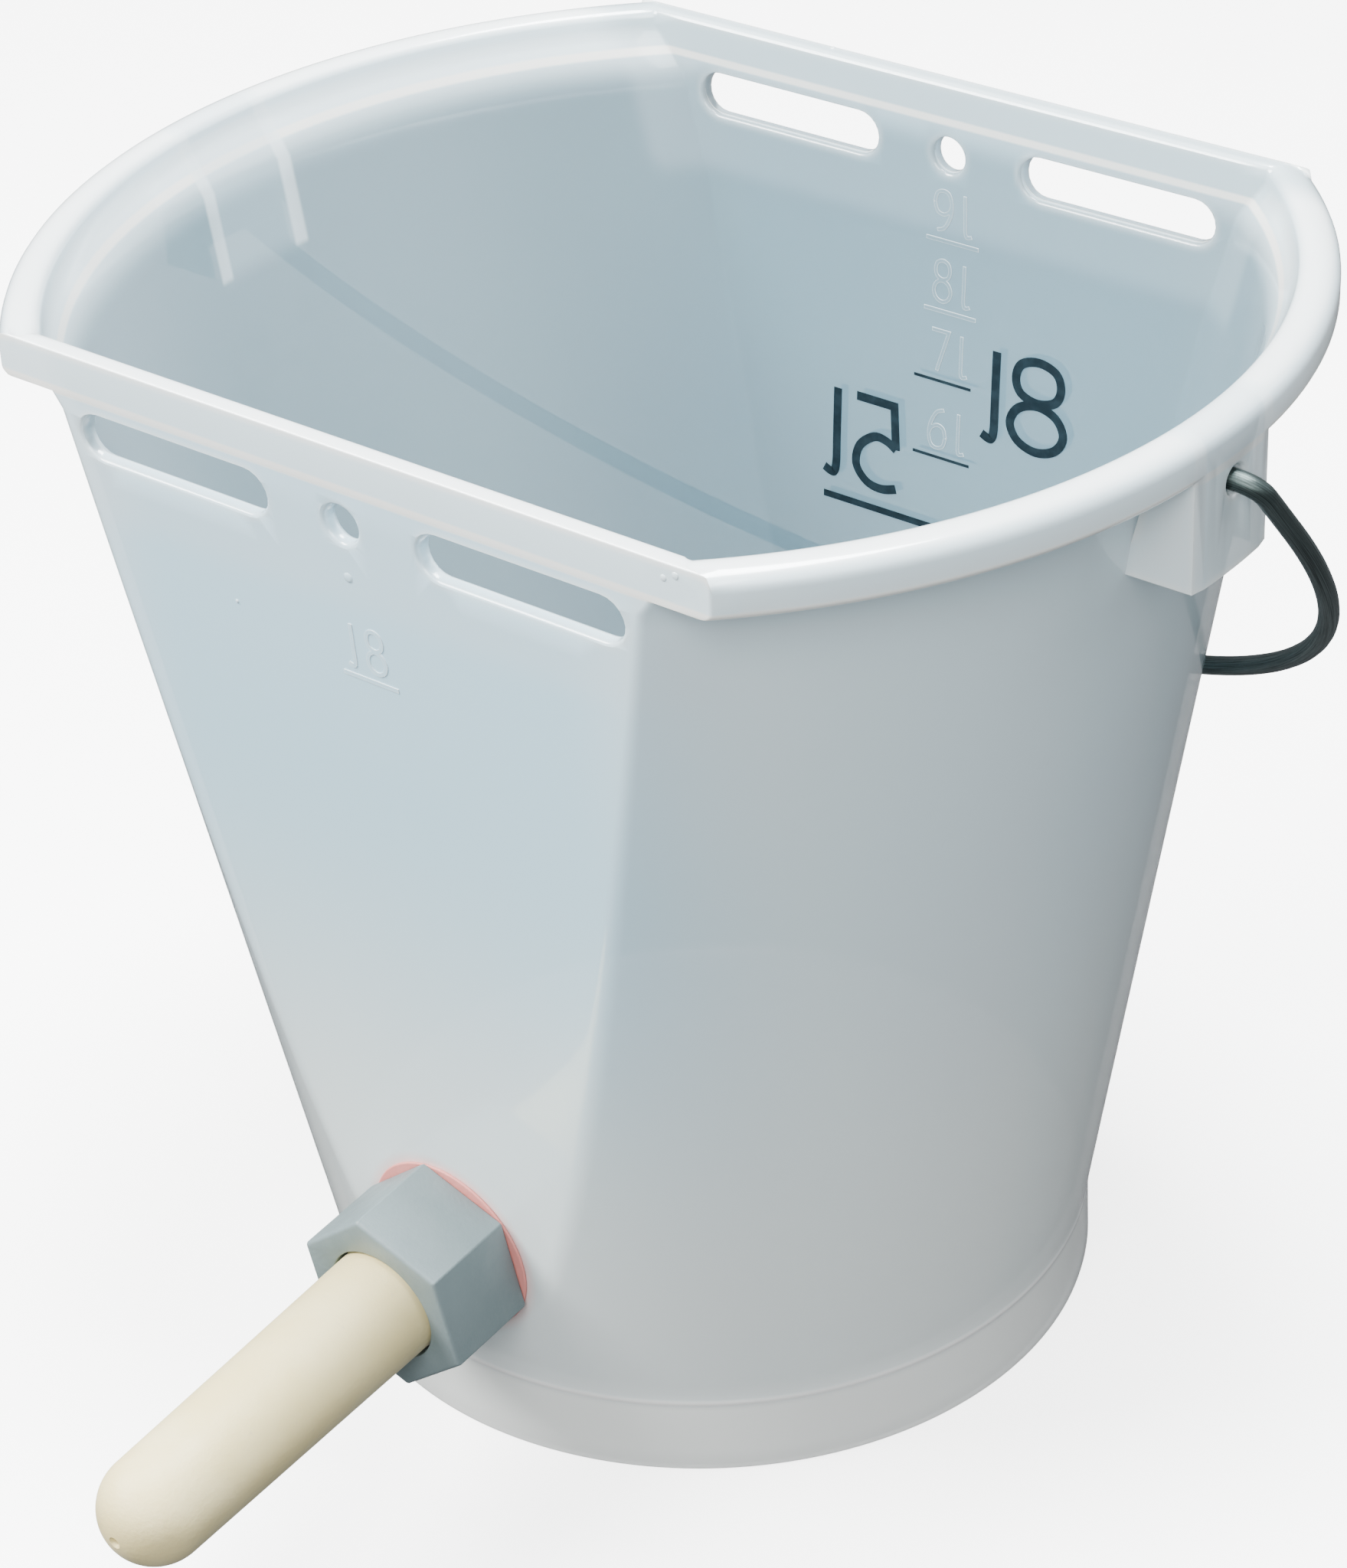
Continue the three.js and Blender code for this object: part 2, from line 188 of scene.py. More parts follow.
def arc(centre, radius, start_deg, end_deg, steps):
    """Points of an arc in the (radius, distance) plane."""
    angles = np.radians(np.linspace(start_deg, end_deg, steps + 1))
    return [(centre[0] + radius * math.cos(a), centre[1] + radius * math.sin(a)) for a in angles]


# ---- The bucket's outline ----


def quarter(reach, radius, flat, crease, aligned):
    """One quarter of an outline, from +X round to +Y: an arc, a rounded crease and half a flat.

    aligned says how far the stations keep to the crease (1), or are spread evenly instead (0).
    """
    flat = min(flat, radius)
    centre = reach - radius
    turn = math.asin((flat - crease) / (radius - crease))
    corner_x = centre + (radius - crease) * math.cos(turn)
    lengths = np.array([radius * turn, crease * (math.pi / 2 - turn), corner_x])
    total = lengths.sum()
    steps = np.array([ARC_STEPS, CREASE_STEPS, FLAT_STEPS])
    even = np.cumsum(steps)[:2] / steps.sum()
    ends = even + aligned * (np.cumsum(lengths)[:2] / total - even)
    shares = np.concatenate(
        [
            np.linspace(0, ends[0], ARC_STEPS + 1)[:-1],
            np.linspace(ends[0], ends[1], CREASE_STEPS + 1)[:-1],
            np.linspace(ends[1], 1, FLAT_STEPS + 1),
        ]
    )
    run = shares * total
    angle = np.minimum(run / radius, turn)
    x = centre + radius * np.cos(angle)
    y = radius * np.sin(angle)
    in_crease = run > lengths[0]
    if crease > 0:
        bend = np.minimum(turn + (run - lengths[0]) / crease, math.pi / 2)
        x = np.where(in_crease, corner_x + crease * np.cos(bend), x)
        y = np.where(in_crease, flat - crease + crease * np.sin(bend), y)
    past = run - lengths[0] - lengths[1]
    x = np.where(past > 0, corner_x - past, x)
    y = np.where(past > 0, flat, y)
    return x, y


def flatness():
    """How far each station of a quarter belongs to the flat wall, from 0 to 1."""
    ramp = np.linspace(0, 1, CREASE_STEPS + 1)[:-1]
    return np.concatenate([np.zeros(ARC_STEPS), ramp, np.ones(FLAT_STEPS + 1)])


def round_the_four_quarters(quarter_values):
    """A quarter's values from +X to +Y, repeated round the whole outline."""
    there, back = quarter_values[:-1], quarter_values[:0:-1]
    return np.concatenate([there, back, there, back])


def outline(z, reach, radius, flat, crease, aligned=1.0, z_flat=None):
    """One ring of the bucket. z_flat is its height along the flats, where that differs."""
    x, y = quarter(reach, radius, flat, crease, aligned)
    count = len(x) - 1
    x, y = round_the_four_quarters(x), round_the_four_quarters(y)
    sign_x = np.repeat([1, -1, -1, 1], count)
    sign_y = np.repeat([1, 1, -1, -1], count)
    share = round_the_four_quarters(flatness())
    height = z + share * ((z if z_flat is None else z_flat) - z)
    return np.stack([x * sign_x, y * sign_y, height], axis=1)


def circle(z, radius):
    return outline(z, radius, radius, radius, 0.0, aligned=0.0)


def wall(z, inset=0.0, widest=None):
    """The wall's outline at height z, inset millimetres inside the outer face."""
    up = z - FOOT_HEIGHT
    reach = FOOT_TOP_RADIUS + up * SIDE_LEAN - inset
    radius = FOOT_TOP_RADIUS + up * ARC_GROWTH - inset
    flat = min(FOOT_TOP_RADIUS + up * FLAT_LEAN - inset, widest or RIM_FLAT)
    crease = 20 - 0.058 * z - min(inset, WALL)
    aligned = min(1.0, up / 26)
    return outline(z, reach, radius, flat, max(crease, 1.8), aligned)


def underside():
    """From the middle of the floor's underside out to the foot ring's outer edge."""
    rings = [circle(FLOOR_UNDERSIDE, r) for r in (6, 30, 60, 82, 91)]
    rings += [circle(17.4, 93.6), circle(15.8, 95.0), circle(13.5, 95.5), circle(1.6, 96.3)]
    rings += [circle(0.5, 96.7), circle(0, 97.4), circle(0, 98.6), circle(0.4, 99.3)]
    return rings + [circle(1.2, FOOT_RADIUS)]


def foot_and_wall():
    """Up the outer face, with the fine bead where the walls stand on the foot."""
    rings = [circle(z, FOOT_RADIUS - 0.3 * z / FOOT_HEIGHT) for z in (6, 11, 16, 19, 20.1)]
    rings.append(circle(20.5, FOOT_TOP_RADIUS + 0.12))
    rings += [wall(FOOT_HEIGHT + 0.02, -0.26), wall(21.6, -0.26), wall(22.1, -0.1), wall(22.8)]
    heights = [25, 28, 32, 37, 43, 50, 58, 68, 80, 95, 110, 125, 140, 155, 170, 185, 200]
    heights += [212, 224, 235, 245, 253, 260, 266]
    return rings + [wall(z) for z in heights]


# The rim from its outer shoulder in to the mouth: reach of the curved part, y of the flats, and how
# far the curved part and the flats lie under the top.
CROWN = (
    (148.1, 116.6, 0.05, 0.0),
    (146.6, 115.4, 0.0, 0.0),
    (145.2, 114.3, 0.15, 0.0),
    (144.0, 113.5, 0.6, 0.05),
    (143.2, 112.8, 1.3, 0.4),
    (142.7, 112.4, 2.3, 1.0),
)


def rim():
    """From the top of the outer face over the solid rim to the mouth's inner edge."""
    rings = [wall(FLARE_START)]
    under = HEIGHT - RIM_DEPTH
    crease = 3.0
    rings.append(outline(under - 2, 140.2, 151.2, RIM_FLAT - 0.1, crease + 1))
    rings.append(outline(under, 141.3, 151.6, RIM_FLAT - 0.05, crease))
    for inset, rise in ((1.5, 0.0), (1.0, 0.12), (0.35, 0.8), (0.1, 1.3), (0.0, 1.9)):
        flat = RIM_FLAT - inset * 0.03
        rings.append(outline(under + rise, RIM_REACH - inset, RIM_ARC - inset, flat, 1.5))
    rings.append(outline(HEIGHT - 6.5, RIM_REACH, RIM_ARC, RIM_FLAT, 1.5))
    rounding = 4.2
    for degrees in (0, 15, 30, 45, 60, 75):
        c, s = math.cos(math.radians(degrees)), math.sin(math.radians(degrees))
        inset = rounding * (1 - c)
        z = HEIGHT - 0.25 - rounding * (1 - s)
        z_flat = HEIGHT - 0.6 * (1 - s)
        flat = RIM_FLAT - 0.6 * (1 - c)
        rings.append(outline(z, RIM_REACH - inset, RIM_ARC - inset, flat, 1.5, z_flat=z_flat))
    for reach, flat, drop, flat_drop in CROWN:
        z, z_flat = HEIGHT - drop, HEIGHT - flat_drop
        rings.append(outline(z, reach, reach + MOUTH_ARC_MORE, flat, 2.4, z_flat=z_flat))
    return rings


def inside():
    """Down the inner face from the mouth to the middle of the floor."""
    rings = [outline(HEIGHT - 4, MOUTH_REACH, MOUTH_ARC, MOUTH_FLAT, 2.4)]
    rings.append(outline(HEIGHT - 7.5, 140.4, 149.6, MOUTH_FLAT, 2.6))
    rings.append(outline(HEIGHT - 11, 138.2, 148.6, MOUTH_FLAT, 2.8))
    heights = [270, 264, 258, 252, 247, 244, 242, 240, 236, 228, 218, 206, 194, 180, 165, 150, 135]
    heights += [120, 105, 90, 77, 66, 56, 48, 41, 36, 32, 28.5, 26]
    rings += [wall(z, WALL, MOUTH_FLAT) for z in heights]
    rings += [circle(24.3, 96.2), circle(23.2, 95.9), circle(22.3, 95.2), circle(21.7, 94.2)]
    rings += [circle(FLOOR_TOP, 93), circle(FLOOR_TOP, 90)]
    return rings + [circle(FLOOR_TOP, r) for r in (60, 30, 6)]


def bucket_shell():
    rings = underside() + foot_and_wall() + rim() + inside()
    points, faces = closed_tube(rings)
    return new_object("bucket", points, faces, BODY_SHARP_DEG)


# ---- What is cut from the bucket and joined to it ----


def flare_reach(z):
    """Reach of the curved wall's outer face where it opens out to the mouth."""
    start = FOOT_TOP_RADIUS + (FLARE_START - FOOT_HEIGHT) * SIDE_LEAN
    return start + (z - FLARE_START) * (MOUTH_REACH + WALL - start) / (HEIGHT - RIM_TOP - FLARE_START)


def skirt_hollow(side):
    """The hollow between a curved wall and the rim's skirt, open downwards.

    Its inner side follows the flaring wall's arc, and its outer side the rim's.
    """
    section = [(flare_reach(272.6) + 0.9, 272.6), (flare_reach(274.2), 274.2)]
    section += [(flare_reach(z) - 0.05, z) for z in (275.5, 277, 278.5, 279.6)]
    section += [(145.2, 280.7), (146.1, 281.3), (147.2, 281.5), (148.6, 281.4), (149.6, 280.8)]
    section += [(150.0, 279.8), (150.1, 277), (150.2, 274.9), (150.6, 274.1), (151.0, 272.6)]
    end_y = 111.3
    stations = []
    for share in np.linspace(-1, 1, 61):
        ring = []
        for reach, z in section:
            flaring = -12 + (z - FLARE_START) * 4.5 / 11.5
            centre = -MOUTH_ARC_MORE if reach > 146 else flaring
            radius = reach - centre
            angle = share * math.asin(end_y / radius)
            ring.append((side * (centre + radius * math.cos(angle)), radius * math.sin(angle), z))
        stations.append(np.array(ring))
    return new_object("hollow", *closed_tube(stations))


def lug_plates(side):
    """The lug's three plates, open downwards and towards the wall, flush with the rim's skirt."""
    centre = RIM_REACH - RIM_ARC
    rings = []
    for z, shrink in ((LUG_BOTTOM, 0.45), (LUG_BOTTOM + 0.45, 0.0), (LUG_TOP, 0.0)):
        neck = min(z, FLARE_START)
        root = FOOT_TOP_RADIUS + (neck - FOOT_HEIGHT) * SIDE_LEAN + max(z - FLARE_START, 0) * 0.5 - 1.6
        faces = []
        for half, out in (
            (LUG_HALF_WIDTH - shrink, RIM_ARC - shrink - 0.01),
            (LUG_HALF_WIDTH - SKIRT + shrink, RIM_ARC - SKIRT + shrink),
        ):
            across = np.linspace(-half, half, 9)
            reach = centre + np.sqrt(out**2 - across**2)
            reach[[0, -1]] -= 0.5
            faces.append([(root, -half)] + list(zip(reach, across)) + [(root, half)])
        plan = faces[0] + faces[1][::-1]
        rings.append(np.array([(side * x, y, z) for x, y in plan]))
    return new_object("lug", *closed_tube(rings))


def rounded_slot(half_length, half_width, steps=10):
    """A slot's outline, or a circle where the two halves are equal."""
    straight = half_length - half_width
    points = []
    for side, start in ((1, -90), (-1, 90)):
        for i in range(steps + 1):
            a = math.radians(start + 180 * i / steps)
            points.append((side * straight + half_width * math.cos(a), half_width * math.sin(a)))
    return points


def through_cut(place, half_length, half_width, depth, lip=0.8, steps=10):
    """A cutter drawn about Z, with its outer end at 0 flared by lip, put in place by a matrix."""
    rings = []
    for along, grow in ((4, 1), (0, 1), (-0.18, 0.55), (-0.45, 0.2), (-0.9, 0), (-depth, 0)):
        grow *= lip
        plan = rounded_slot(half_length + grow, half_width + grow, steps)
        rings.append(np.array([place @ Vector((x, y, along)) for x, y in plan]))
    return new_object("cutter", *closed_tube(rings))


def flat_wall_y(z):
    """Distance of a flat wall's outer face from the middle at height z."""
    return FOOT_TOP_RADIUS + (z - FOOT_HEIGHT) * FLAT_LEAN


def on_flat_wall(side, z, x=0.0, inner=False):
    """Matrix whose Z points out of a flat wall's face at height z, and whose Y points up it."""
    if inner:
        y = min(flat_wall_y(z) - WALL, MOUTH_FLAT)
        lean = LEAN_ANGLE if y < MOUTH_FLAT else 0.0
        out = Vector((0, -side * math.cos(lean), math.sin(lean)))
    else:
        y = flat_wall_y(z)
        out = Vector((0, side * math.cos(LEAN_ANGLE), -math.sin(LEAN_ANGLE)))
    up = Vector((0, 0, 1))
    up = (up - up.dot(out) * out).normalized()
    across = up.cross(out)
    turn = Matrix((across, up, out)).transposed().to_4x4()
    return Matrix.Translation((x, side * y, z)) @ turn


def wall_openings():
    """Cutters for the slots, the hanging holes and the valve's hole."""
    cutters = []
    slot = (SLOT_REACH, SLOT_HALF)
    hole = (HANG_HOLE_RADIUS, HANG_HOLE_RADIUS)
    valve = (VALVE_HOLE_RADIUS, VALVE_HOLE_RADIUS)
    for side in (-1, 1):
        for inner, depth in ((False, CUT_DEPTH), (True, INNER_CUT_DEPTH)):
            for x in (-SLOT_CENTRE_X, SLOT_CENTRE_X):
                cutters.append(through_cut(on_flat_wall(side, SLOT_Z, x, inner), *slot, depth))
            middle = on_flat_wall(side, SLOT_Z, 0, inner)
            cutters.append(through_cut(middle, *hole, depth, lip=1.1, steps=18))
    cutters.append(through_cut(on_flat_wall(-1, TEAT_Z), *valve, CUT_DEPTH, lip=0.3, steps=32))
    return cutters


def lug_hole(side):
    across = Vector((0, side, 0))
    turn = Matrix((across, (0, 0, 1), (side, 0, 0))).transposed().to_4x4()
    place = Matrix.Translation((side * RIM_REACH, 0, PIVOT_Z)) @ turn
    return through_cut(place, LUG_HOLE_RADIUS, LUG_HOLE_RADIUS, 5, lip=1.0, steps=16)


def bucket():
    body = bucket_shell()
    for side in (-1, 1):
        boolean(body, skirt_hollow(side), "DIFFERENCE", BODY_SHARP_DEG)
        boolean(body, lug_plates(side), "UNION", BODY_SHARP_DEG)
    for cutter in wall_openings() + [lug_hole(-1), lug_hole(1)]:
        boolean(body, cutter, "DIFFERENCE", BODY_SHARP_DEG)
    for mark in moulded_scale() + gate_marks():
        boolean(body, mark, "UNION", BODY_SHARP_DEG)
    return body


def gate_marks():
    """Small stubs that the moulding left on the rim and the front wall."""
    marks = []
    for radius, place in (
        (0.7, Matrix.Translation((-37.9, 116.2, HEIGHT))),
        (0.9, Matrix.Translation((92.5, -RIM_FLAT, 282.6)) @ Matrix.Rotation(math.pi / 2, 4, "X")),
        (0.8, Matrix.Translation((89.4, -RIM_FLAT, 281.2)) @ Matrix.Rotation(math.pi / 2, 4, "X")),
        (0.5, on_flat_wall(-1, 234.2, -36.4)),
        (1.3, on_flat_wall(-1, 252.3)),
    ):
        rings = []
        for along, share in ((-0.5, 1.0), (0.0, 1.0), (0.18, 0.85), (0.3, 0.5)):
            rim_points = arc((0, 0), radius * share, 0, 330, 11)
            rings.append(np.array([place @ Vector((x, y, along)) for x, y in rim_points]))
        marks.append(new_object("stub", *closed_tube(rings)))
    return marks


# ---- Bail ----

WIRE_RADIUS = 2.5
BAIL_HALF_SPAN = 158.0
BAIL_END_X = 143.5
BAIL_BEND = 5.5
BAIL_STRAIGHT = 23.5
BAIL_HANG = math.radians(49.4)
WIRE_SIDES = 20


def bail_line():
    """The wire's centre line in its own plane: x across, y away from the pivots."""
    corner = BAIL_HALF_SPAN - BAIL_BEND
    half = [(BAIL_END_X, 0), (BAIL_END_X + 3, 0), (corner - 2.5, 0)]
    half += arc((corner, BAIL_BEND), BAIL_BEND, -90, 0, 10)
    half += [(BAIL_HALF_SPAN, y) for y in (11, 17)]
    for degrees in np.linspace(0, 90, 61):
        a = math.radians(degrees)
        half.append((BAIL_HALF_SPAN * math.cos(a), BAIL_STRAIGHT + BAIL_HALF_SPAN * math.sin(a)))
    whole = half + [(-x, y) for x, y in reversed(half[:-1])]
    return np.array([(x, y, 0) for x, y in whole])


def round_wire(name, line, radius):
    """A round wire along a flat line, with its ends rounded and a UV map along and round it."""
    ahead = np.gradient(line, axis=0)
    ahead /= np.linalg.norm(ahead, axis=1)[:, None]
    flat_normal = np.array([0, 0, 1.0])
    across = np.cross(ahead, flat_normal)
    angles = np.arange(WIRE_SIDES) * TAU / WIRE_SIDES
    rings = []
    for p, side in zip(line, across):
        rings.append(p + radius * (np.outer(np.cos(angles), side) + np.outer(np.sin(angles), flat_normal)))
    caps = []
    for end, way in ((0, -1), (-1, 1)):
        cap = []
        for push, shrink in ((0.21, 0.92), (0.36, 0.75)):
            centre = line[end] + way * ahead[end] * radius * push
            cap.append(centre + (rings[end] - line[end]) * shrink)
        caps.append(cap)
    rings = caps[0][::-1] + rings + caps[1]
    along = np.cumsum(np.linalg.norm(np.diff(line, axis=0), axis=1))
    lengths = [0, 0, 0, *along, along[-1], along[-1]]
    points, faces = closed_tube(rings)
    piece = new_object(name, points, faces, 50)
    layer = piece.data.uv_layers.new(name="along")
    for loop in piece.data.loops:
        ring, place = divmod(loop.vertex_index, WIRE_SIDES)
        layer.data[loop.index].uv = (lengths[ring] * MM, place / WIRE_SIDES)
    return piece


def bail():
    piece = round_wire("bail_wire", bail_line(), WIRE_RADIUS)
    hang = Matrix.Translation((0, 0, PIVOT_Z * MM)) @ Matrix.Rotation(-BAIL_HANG, 4, "X")
    piece.data.transform(hang)
    return piece


# ---- Teat unit: drawn about Z, which points out along the teat ----

GAP = 0.3
NUT_ACROSS_FLATS = 42.9
NUT_TURN = 0.173
NUT_REAR, NUT_FRONT = 1.0, 26.5
NUT_SHOULDER = 21.9
NUT_BORE, NUT_MOUTH = 18.8, 15.3
RING_RADIUS = 23.7
SPIGOT_RADIUS, SPIGOT_END = 18.3, 17.3
THREAD_PITCH = 3.0
FLANGE_RADIUS, FLANGE_THICKNESS = 26.0, 4.0
BALL_RADIUS, BALL_OPEN = 7.5, 6.3
RETAINER_RADIUS, RETAINER_REAR, RETAINER_BAR = 11.0, 14.1, 2.2
TEAT_ROOT, TEAT_TIP, TEAT_LENGTH = 14.7, 13.6, 119.3
TEAT_WALL = 3.4


def on_the_front(piece):
    """Moves a piece drawn about Z onto the front wall, square to its face."""
    place = on_flat_wall(-1, TEAT_Z)
    place.translation *= MM
    piece.data.transform(place)
    return piece


def rounded_hexagon(across_flats, corner_radius):
    """A hexagon with rounded corners, one of its corners at the nut's turn from +Y."""
    inner = across_flats / 2 - corner_radius
    steps = 5
    points = []
    for k in range(6):
        at = math.pi / 2 + NUT_TURN + k * math.pi / 3
        centre = np.array([math.cos(at), math.sin(at)]) * inner / math.cos(math.pi / 6)
        for i in range(steps + 1):
            a = at + math.pi / 3 * (i / steps - 0.5)
            points.append(centre + corner_radius * np.array([math.cos(a), math.sin(a)]))
    return points


def union_nut():
    rings = []
    outer = (
        (-0.8, NUT_REAR),
        (-0.2, NUT_REAR + 0.2),
        (0.0, NUT_REAR + 0.8),
        (0.0, NUT_FRONT - 1.0),
        (-0.1, NUT_FRONT - 0.6),
        (-0.32, NUT_FRONT - 0.28),
        (-0.65, NUT_FRONT - 0.07),
        (-1.1, NUT_FRONT),
    )
    for grow, along in outer:
        rounding = 0.8 - 0.4 * grow
        plan = rounded_hexagon(NUT_ACROSS_FLATS + 2 * grow, rounding)
        rings.append(np.array([(x, y, along) for x, y in plan]))
    nut = new_object("union_nut_visual", *closed_tube(rings), sharp_deg=24)
    bore = [(0, NUT_REAR - 2), (NUT_BORE + 0.5, NUT_REAR - 2), (NUT_BORE + 0.5, NUT_REAR)]
    bore += [(NUT_BORE, NUT_REAR + 0.6), (NUT_BORE, NUT_SHOULDER), (NUT_MOUTH, NUT_SHOULDER)]
    bore += [(NUT_MOUTH, NUT_FRONT - 0.5), (NUT_MOUTH + 0.15, NUT_FRONT - 0.15)]
    bore += [(NUT_MOUTH + 0.5, NUT_FRONT), (NUT_MOUTH + 0.5, NUT_FRONT + 2), (0, NUT_FRONT + 2)]
    boolean(nut, turned("bore", bore, 96), "DIFFERENCE", 24)
    return on_the_front(nut)


def teat():
    rear = SPIGOT_END + GAP
    tip_centre = TEAT_LENGTH - TEAT_TIP
    inner_tip = TEAT_TIP - TEAT_WALL
    hole = math.degrees(math.acos(1.0 / TEAT_TIP))
    inner_hole = math.degrees(math.acos(1.0 / inner_tip))
    profile = [(TEAT_ROOT - TEAT_WALL, rear), (17.6, rear), (18.0, rear + 0.4)]
    profile += [(18.0, 21.2), (17.6, 21.6), (TEAT_ROOT + 0.4, 21.6), (TEAT_ROOT, 22.0)]
    profile += [(TEAT_ROOT - 0.05, 27), (TEAT_ROOT - 0.12, 34)]
    for share in (0.2, 0.4, 0.6, 0.8):
        along = 34 + (tip_centre - 34) * share
        profile.append((TEAT_ROOT - 0.12 + (TEAT_TIP + 0.12 - TEAT_ROOT) * share, along))
    profile += arc((0, tip_centre), TEAT_TIP, 0, hole - 2.5, 22)
    profile += [(1.35, TEAT_LENGTH - 0.35), (1.0, TEAT_LENGTH - 1.0)]
    profile += arc((0, tip_centre), inner_tip, inner_hole, 0, 8)
    return on_the_front(turned("teat_visual", profile, 96))


def sealing_ring():
    inner, rear, front = SPIGOT_RADIUS + GAP, 0.08, 0.8
    profile = [(inner, rear), (RING_RADIUS - 0.3, rear)]
    profile += arc((RING_RADIUS - 0.36, (rear + front) / 2), 0.36, -80, 80, 6)
    profile += [(RING_RADIUS - 0.3, front), (inner, front)]
    return on_the_front(turned("sealing_ring_visual", profile, 96))


def valve_body():
    """Flange and spigot in one turned piece. Its thread is drawn as rings, one pitch apart."""
    rear = -WALL - GAP - FLANGE_THICKNESS
    front = rear + FLANGE_THICKNESS
    profile = [(6.0, rear + 0.3), (6.3, rear), (9.0, rear), (9.6, rear), (24.6, rear)]
    profile += arc((FLANGE_RADIUS - 1.2, rear + 1.2), 1.2, -90, 0, 4)
    profile += [(FLANGE_RADIUS, front - 0.3), (FLANGE_RADIUS - 0.3, front), (SPIGOT_RADIUS, front)]
    profile.append((SPIGOT_RADIUS, 2.0))
    groove = 2.6
    while groove < SPIGOT_END - 1.8:
        profile += [(SPIGOT_RADIUS - 0.9, groove), (SPIGOT_RADIUS - 0.9, groove + 0.5)]
        profile += [(SPIGOT_RADIUS, groove + 1.1), (SPIGOT_RADIUS, groove + 1.7)]
        groove += THREAD_PITCH
    profile += [(SPIGOT_RADIUS - 0.8, SPIGOT_END), (11.6, SPIGOT_END), (11.3, SPIGOT_END - 0.3)]
    profile += [(11.3, 13.8), (7.8, 13.8), (7.8, -0.5), (6.0, -2.0)]
    return on_the_front(turned("valve_body_visual", profile, 96))


def ball():
    return on_the_front(turned("valve_ball_visual", arc((0, BALL_OPEN), BALL_RADIUS, -90, 90, 28), 64))


def retainer():
    """A ring with a cross of two bars, which lets milk past the ball."""
    inner = RETAINER_RADIUS - RETAINER_BAR
    profile = [(inner, RETAINER_REAR + 0.3), (inner + 0.3, RETAINER_REAR)]
    profile += [(RETAINER_RADIUS - 0.3, RETAINER_REAR), (RETAINER_RADIUS, RETAINER_REAR + 0.3)]
    profile += [(RETAINER_RADIUS, SPIGOT_END), (inner, SPIGOT_END)]
    cage = turned("ball_retainer_visual", profile, 72)
    for turn in (0, math.pi / 2):
        half = RETAINER_BAR / 2
        plan = rounded_slot(inner + 1.0, half, 4)
        c, s = math.cos(turn), math.sin(turn)
        rings = []
        for along in (RETAINER_REAR, SPIGOT_END - 0.05):
            rings.append(np.array([(c * x - s * y, s * x + c * y, along) for x, y in plan]))
        boolean(cage, new_object("bar", *closed_tube(rings)), "UNION")
    return on_the_front(cage)


# ---- Scale: printed on the back wall, and moulded on both flat walls ----

# Each glyph is a list of strokes in a box 1 wide and 1 high: the stroke's points, and whether it
# is drawn straight, as a smooth curve, or as a smooth closed curve.
GLYPHS = {
    "l": [([(0, 1), (0, 0.4), (0, 0.12), (0.16, 0.01), (0.5, 0), (1, 0.035)], "smooth")],
    "5": [
        ([(1, 1), (0.09, 1), (0.02, 0.5)], "straight"),
        (
            [(0.02, 0.5), (0.25, 0.57), (0.55, 0.58), (0.9, 0.43), (0.98, 0.2), (0.72, 0.03)]
            + [(0.35, -0.01), (0, 0.04)],
            "smooth",
        ),
    ],
    "6": [
        (
            [(0.88, 0.99), (0.45, 0.9), (0.1, 0.6), (0.01, 0.3), (0.16, 0.06), (0.5, 0)]
            + [(0.86, 0.08), (1, 0.3)],
            "smooth",
        ),
        ([(1, 0.3), (0.86, 0.52), (0.5, 0.58), (0.14, 0.48), (0.02, 0.35)], "smooth"),
    ],
    "7": [([(0, 1), (1, 1), (0.35, 0)], "straight")],
    "8": [
        (
            [(0.5, 1), (0.82, 0.935), (0.92, 0.77), (0.82, 0.61), (0.5, 0.545), (0.18, 0.61)]
            + [(0.08, 0.77), (0.18, 0.935)],
            "closed",
        ),
        (
            [(0.5, 0.515), (0.85, 0.44), (1, 0.255), (0.85, 0.075), (0.5, 0), (0.15, 0.075)]
            + [(0, 0.255), (0.15, 0.44)],
            "closed",
        ),
    ],
    "9": [
        (
            [(0.12, 0.01), (0.55, 0.1), (0.9, 0.4), (0.99, 0.7), (0.84, 0.94), (0.5, 1)]
            + [(0.14, 0.92), (0, 0.7)],
            "smooth",
        ),
        ([(0, 0.7), (0.14, 0.48), (0.5, 0.42), (0.86, 0.52), (0.98, 0.65)], "smooth"),
    ],
}


def smooth_path(points, closed):
    """Points along a Catmull-Rom curve, five to each stretch between two points."""
    p = np.array(points, float)
    count = len(p)
    path = []
    for i in range(count if closed else count - 1):
        near = [i - 1, i, i + 1, i + 2]
        a, b, c, d = (p[k % count] if closed else p[min(max(k, 0), count - 1)] for k in near)
        for t in (0.0, 0.2, 0.4, 0.6, 0.8):
            square = (2 * a - 5 * b + 4 * c - d) * t**2
            cube = (3 * b - 3 * c + d - a) * t**3
            path.append(0.5 * (2 * b + (c - a) * t + square + cube))
    if not closed:
        path.append(p[-1])
    return np.array(path)


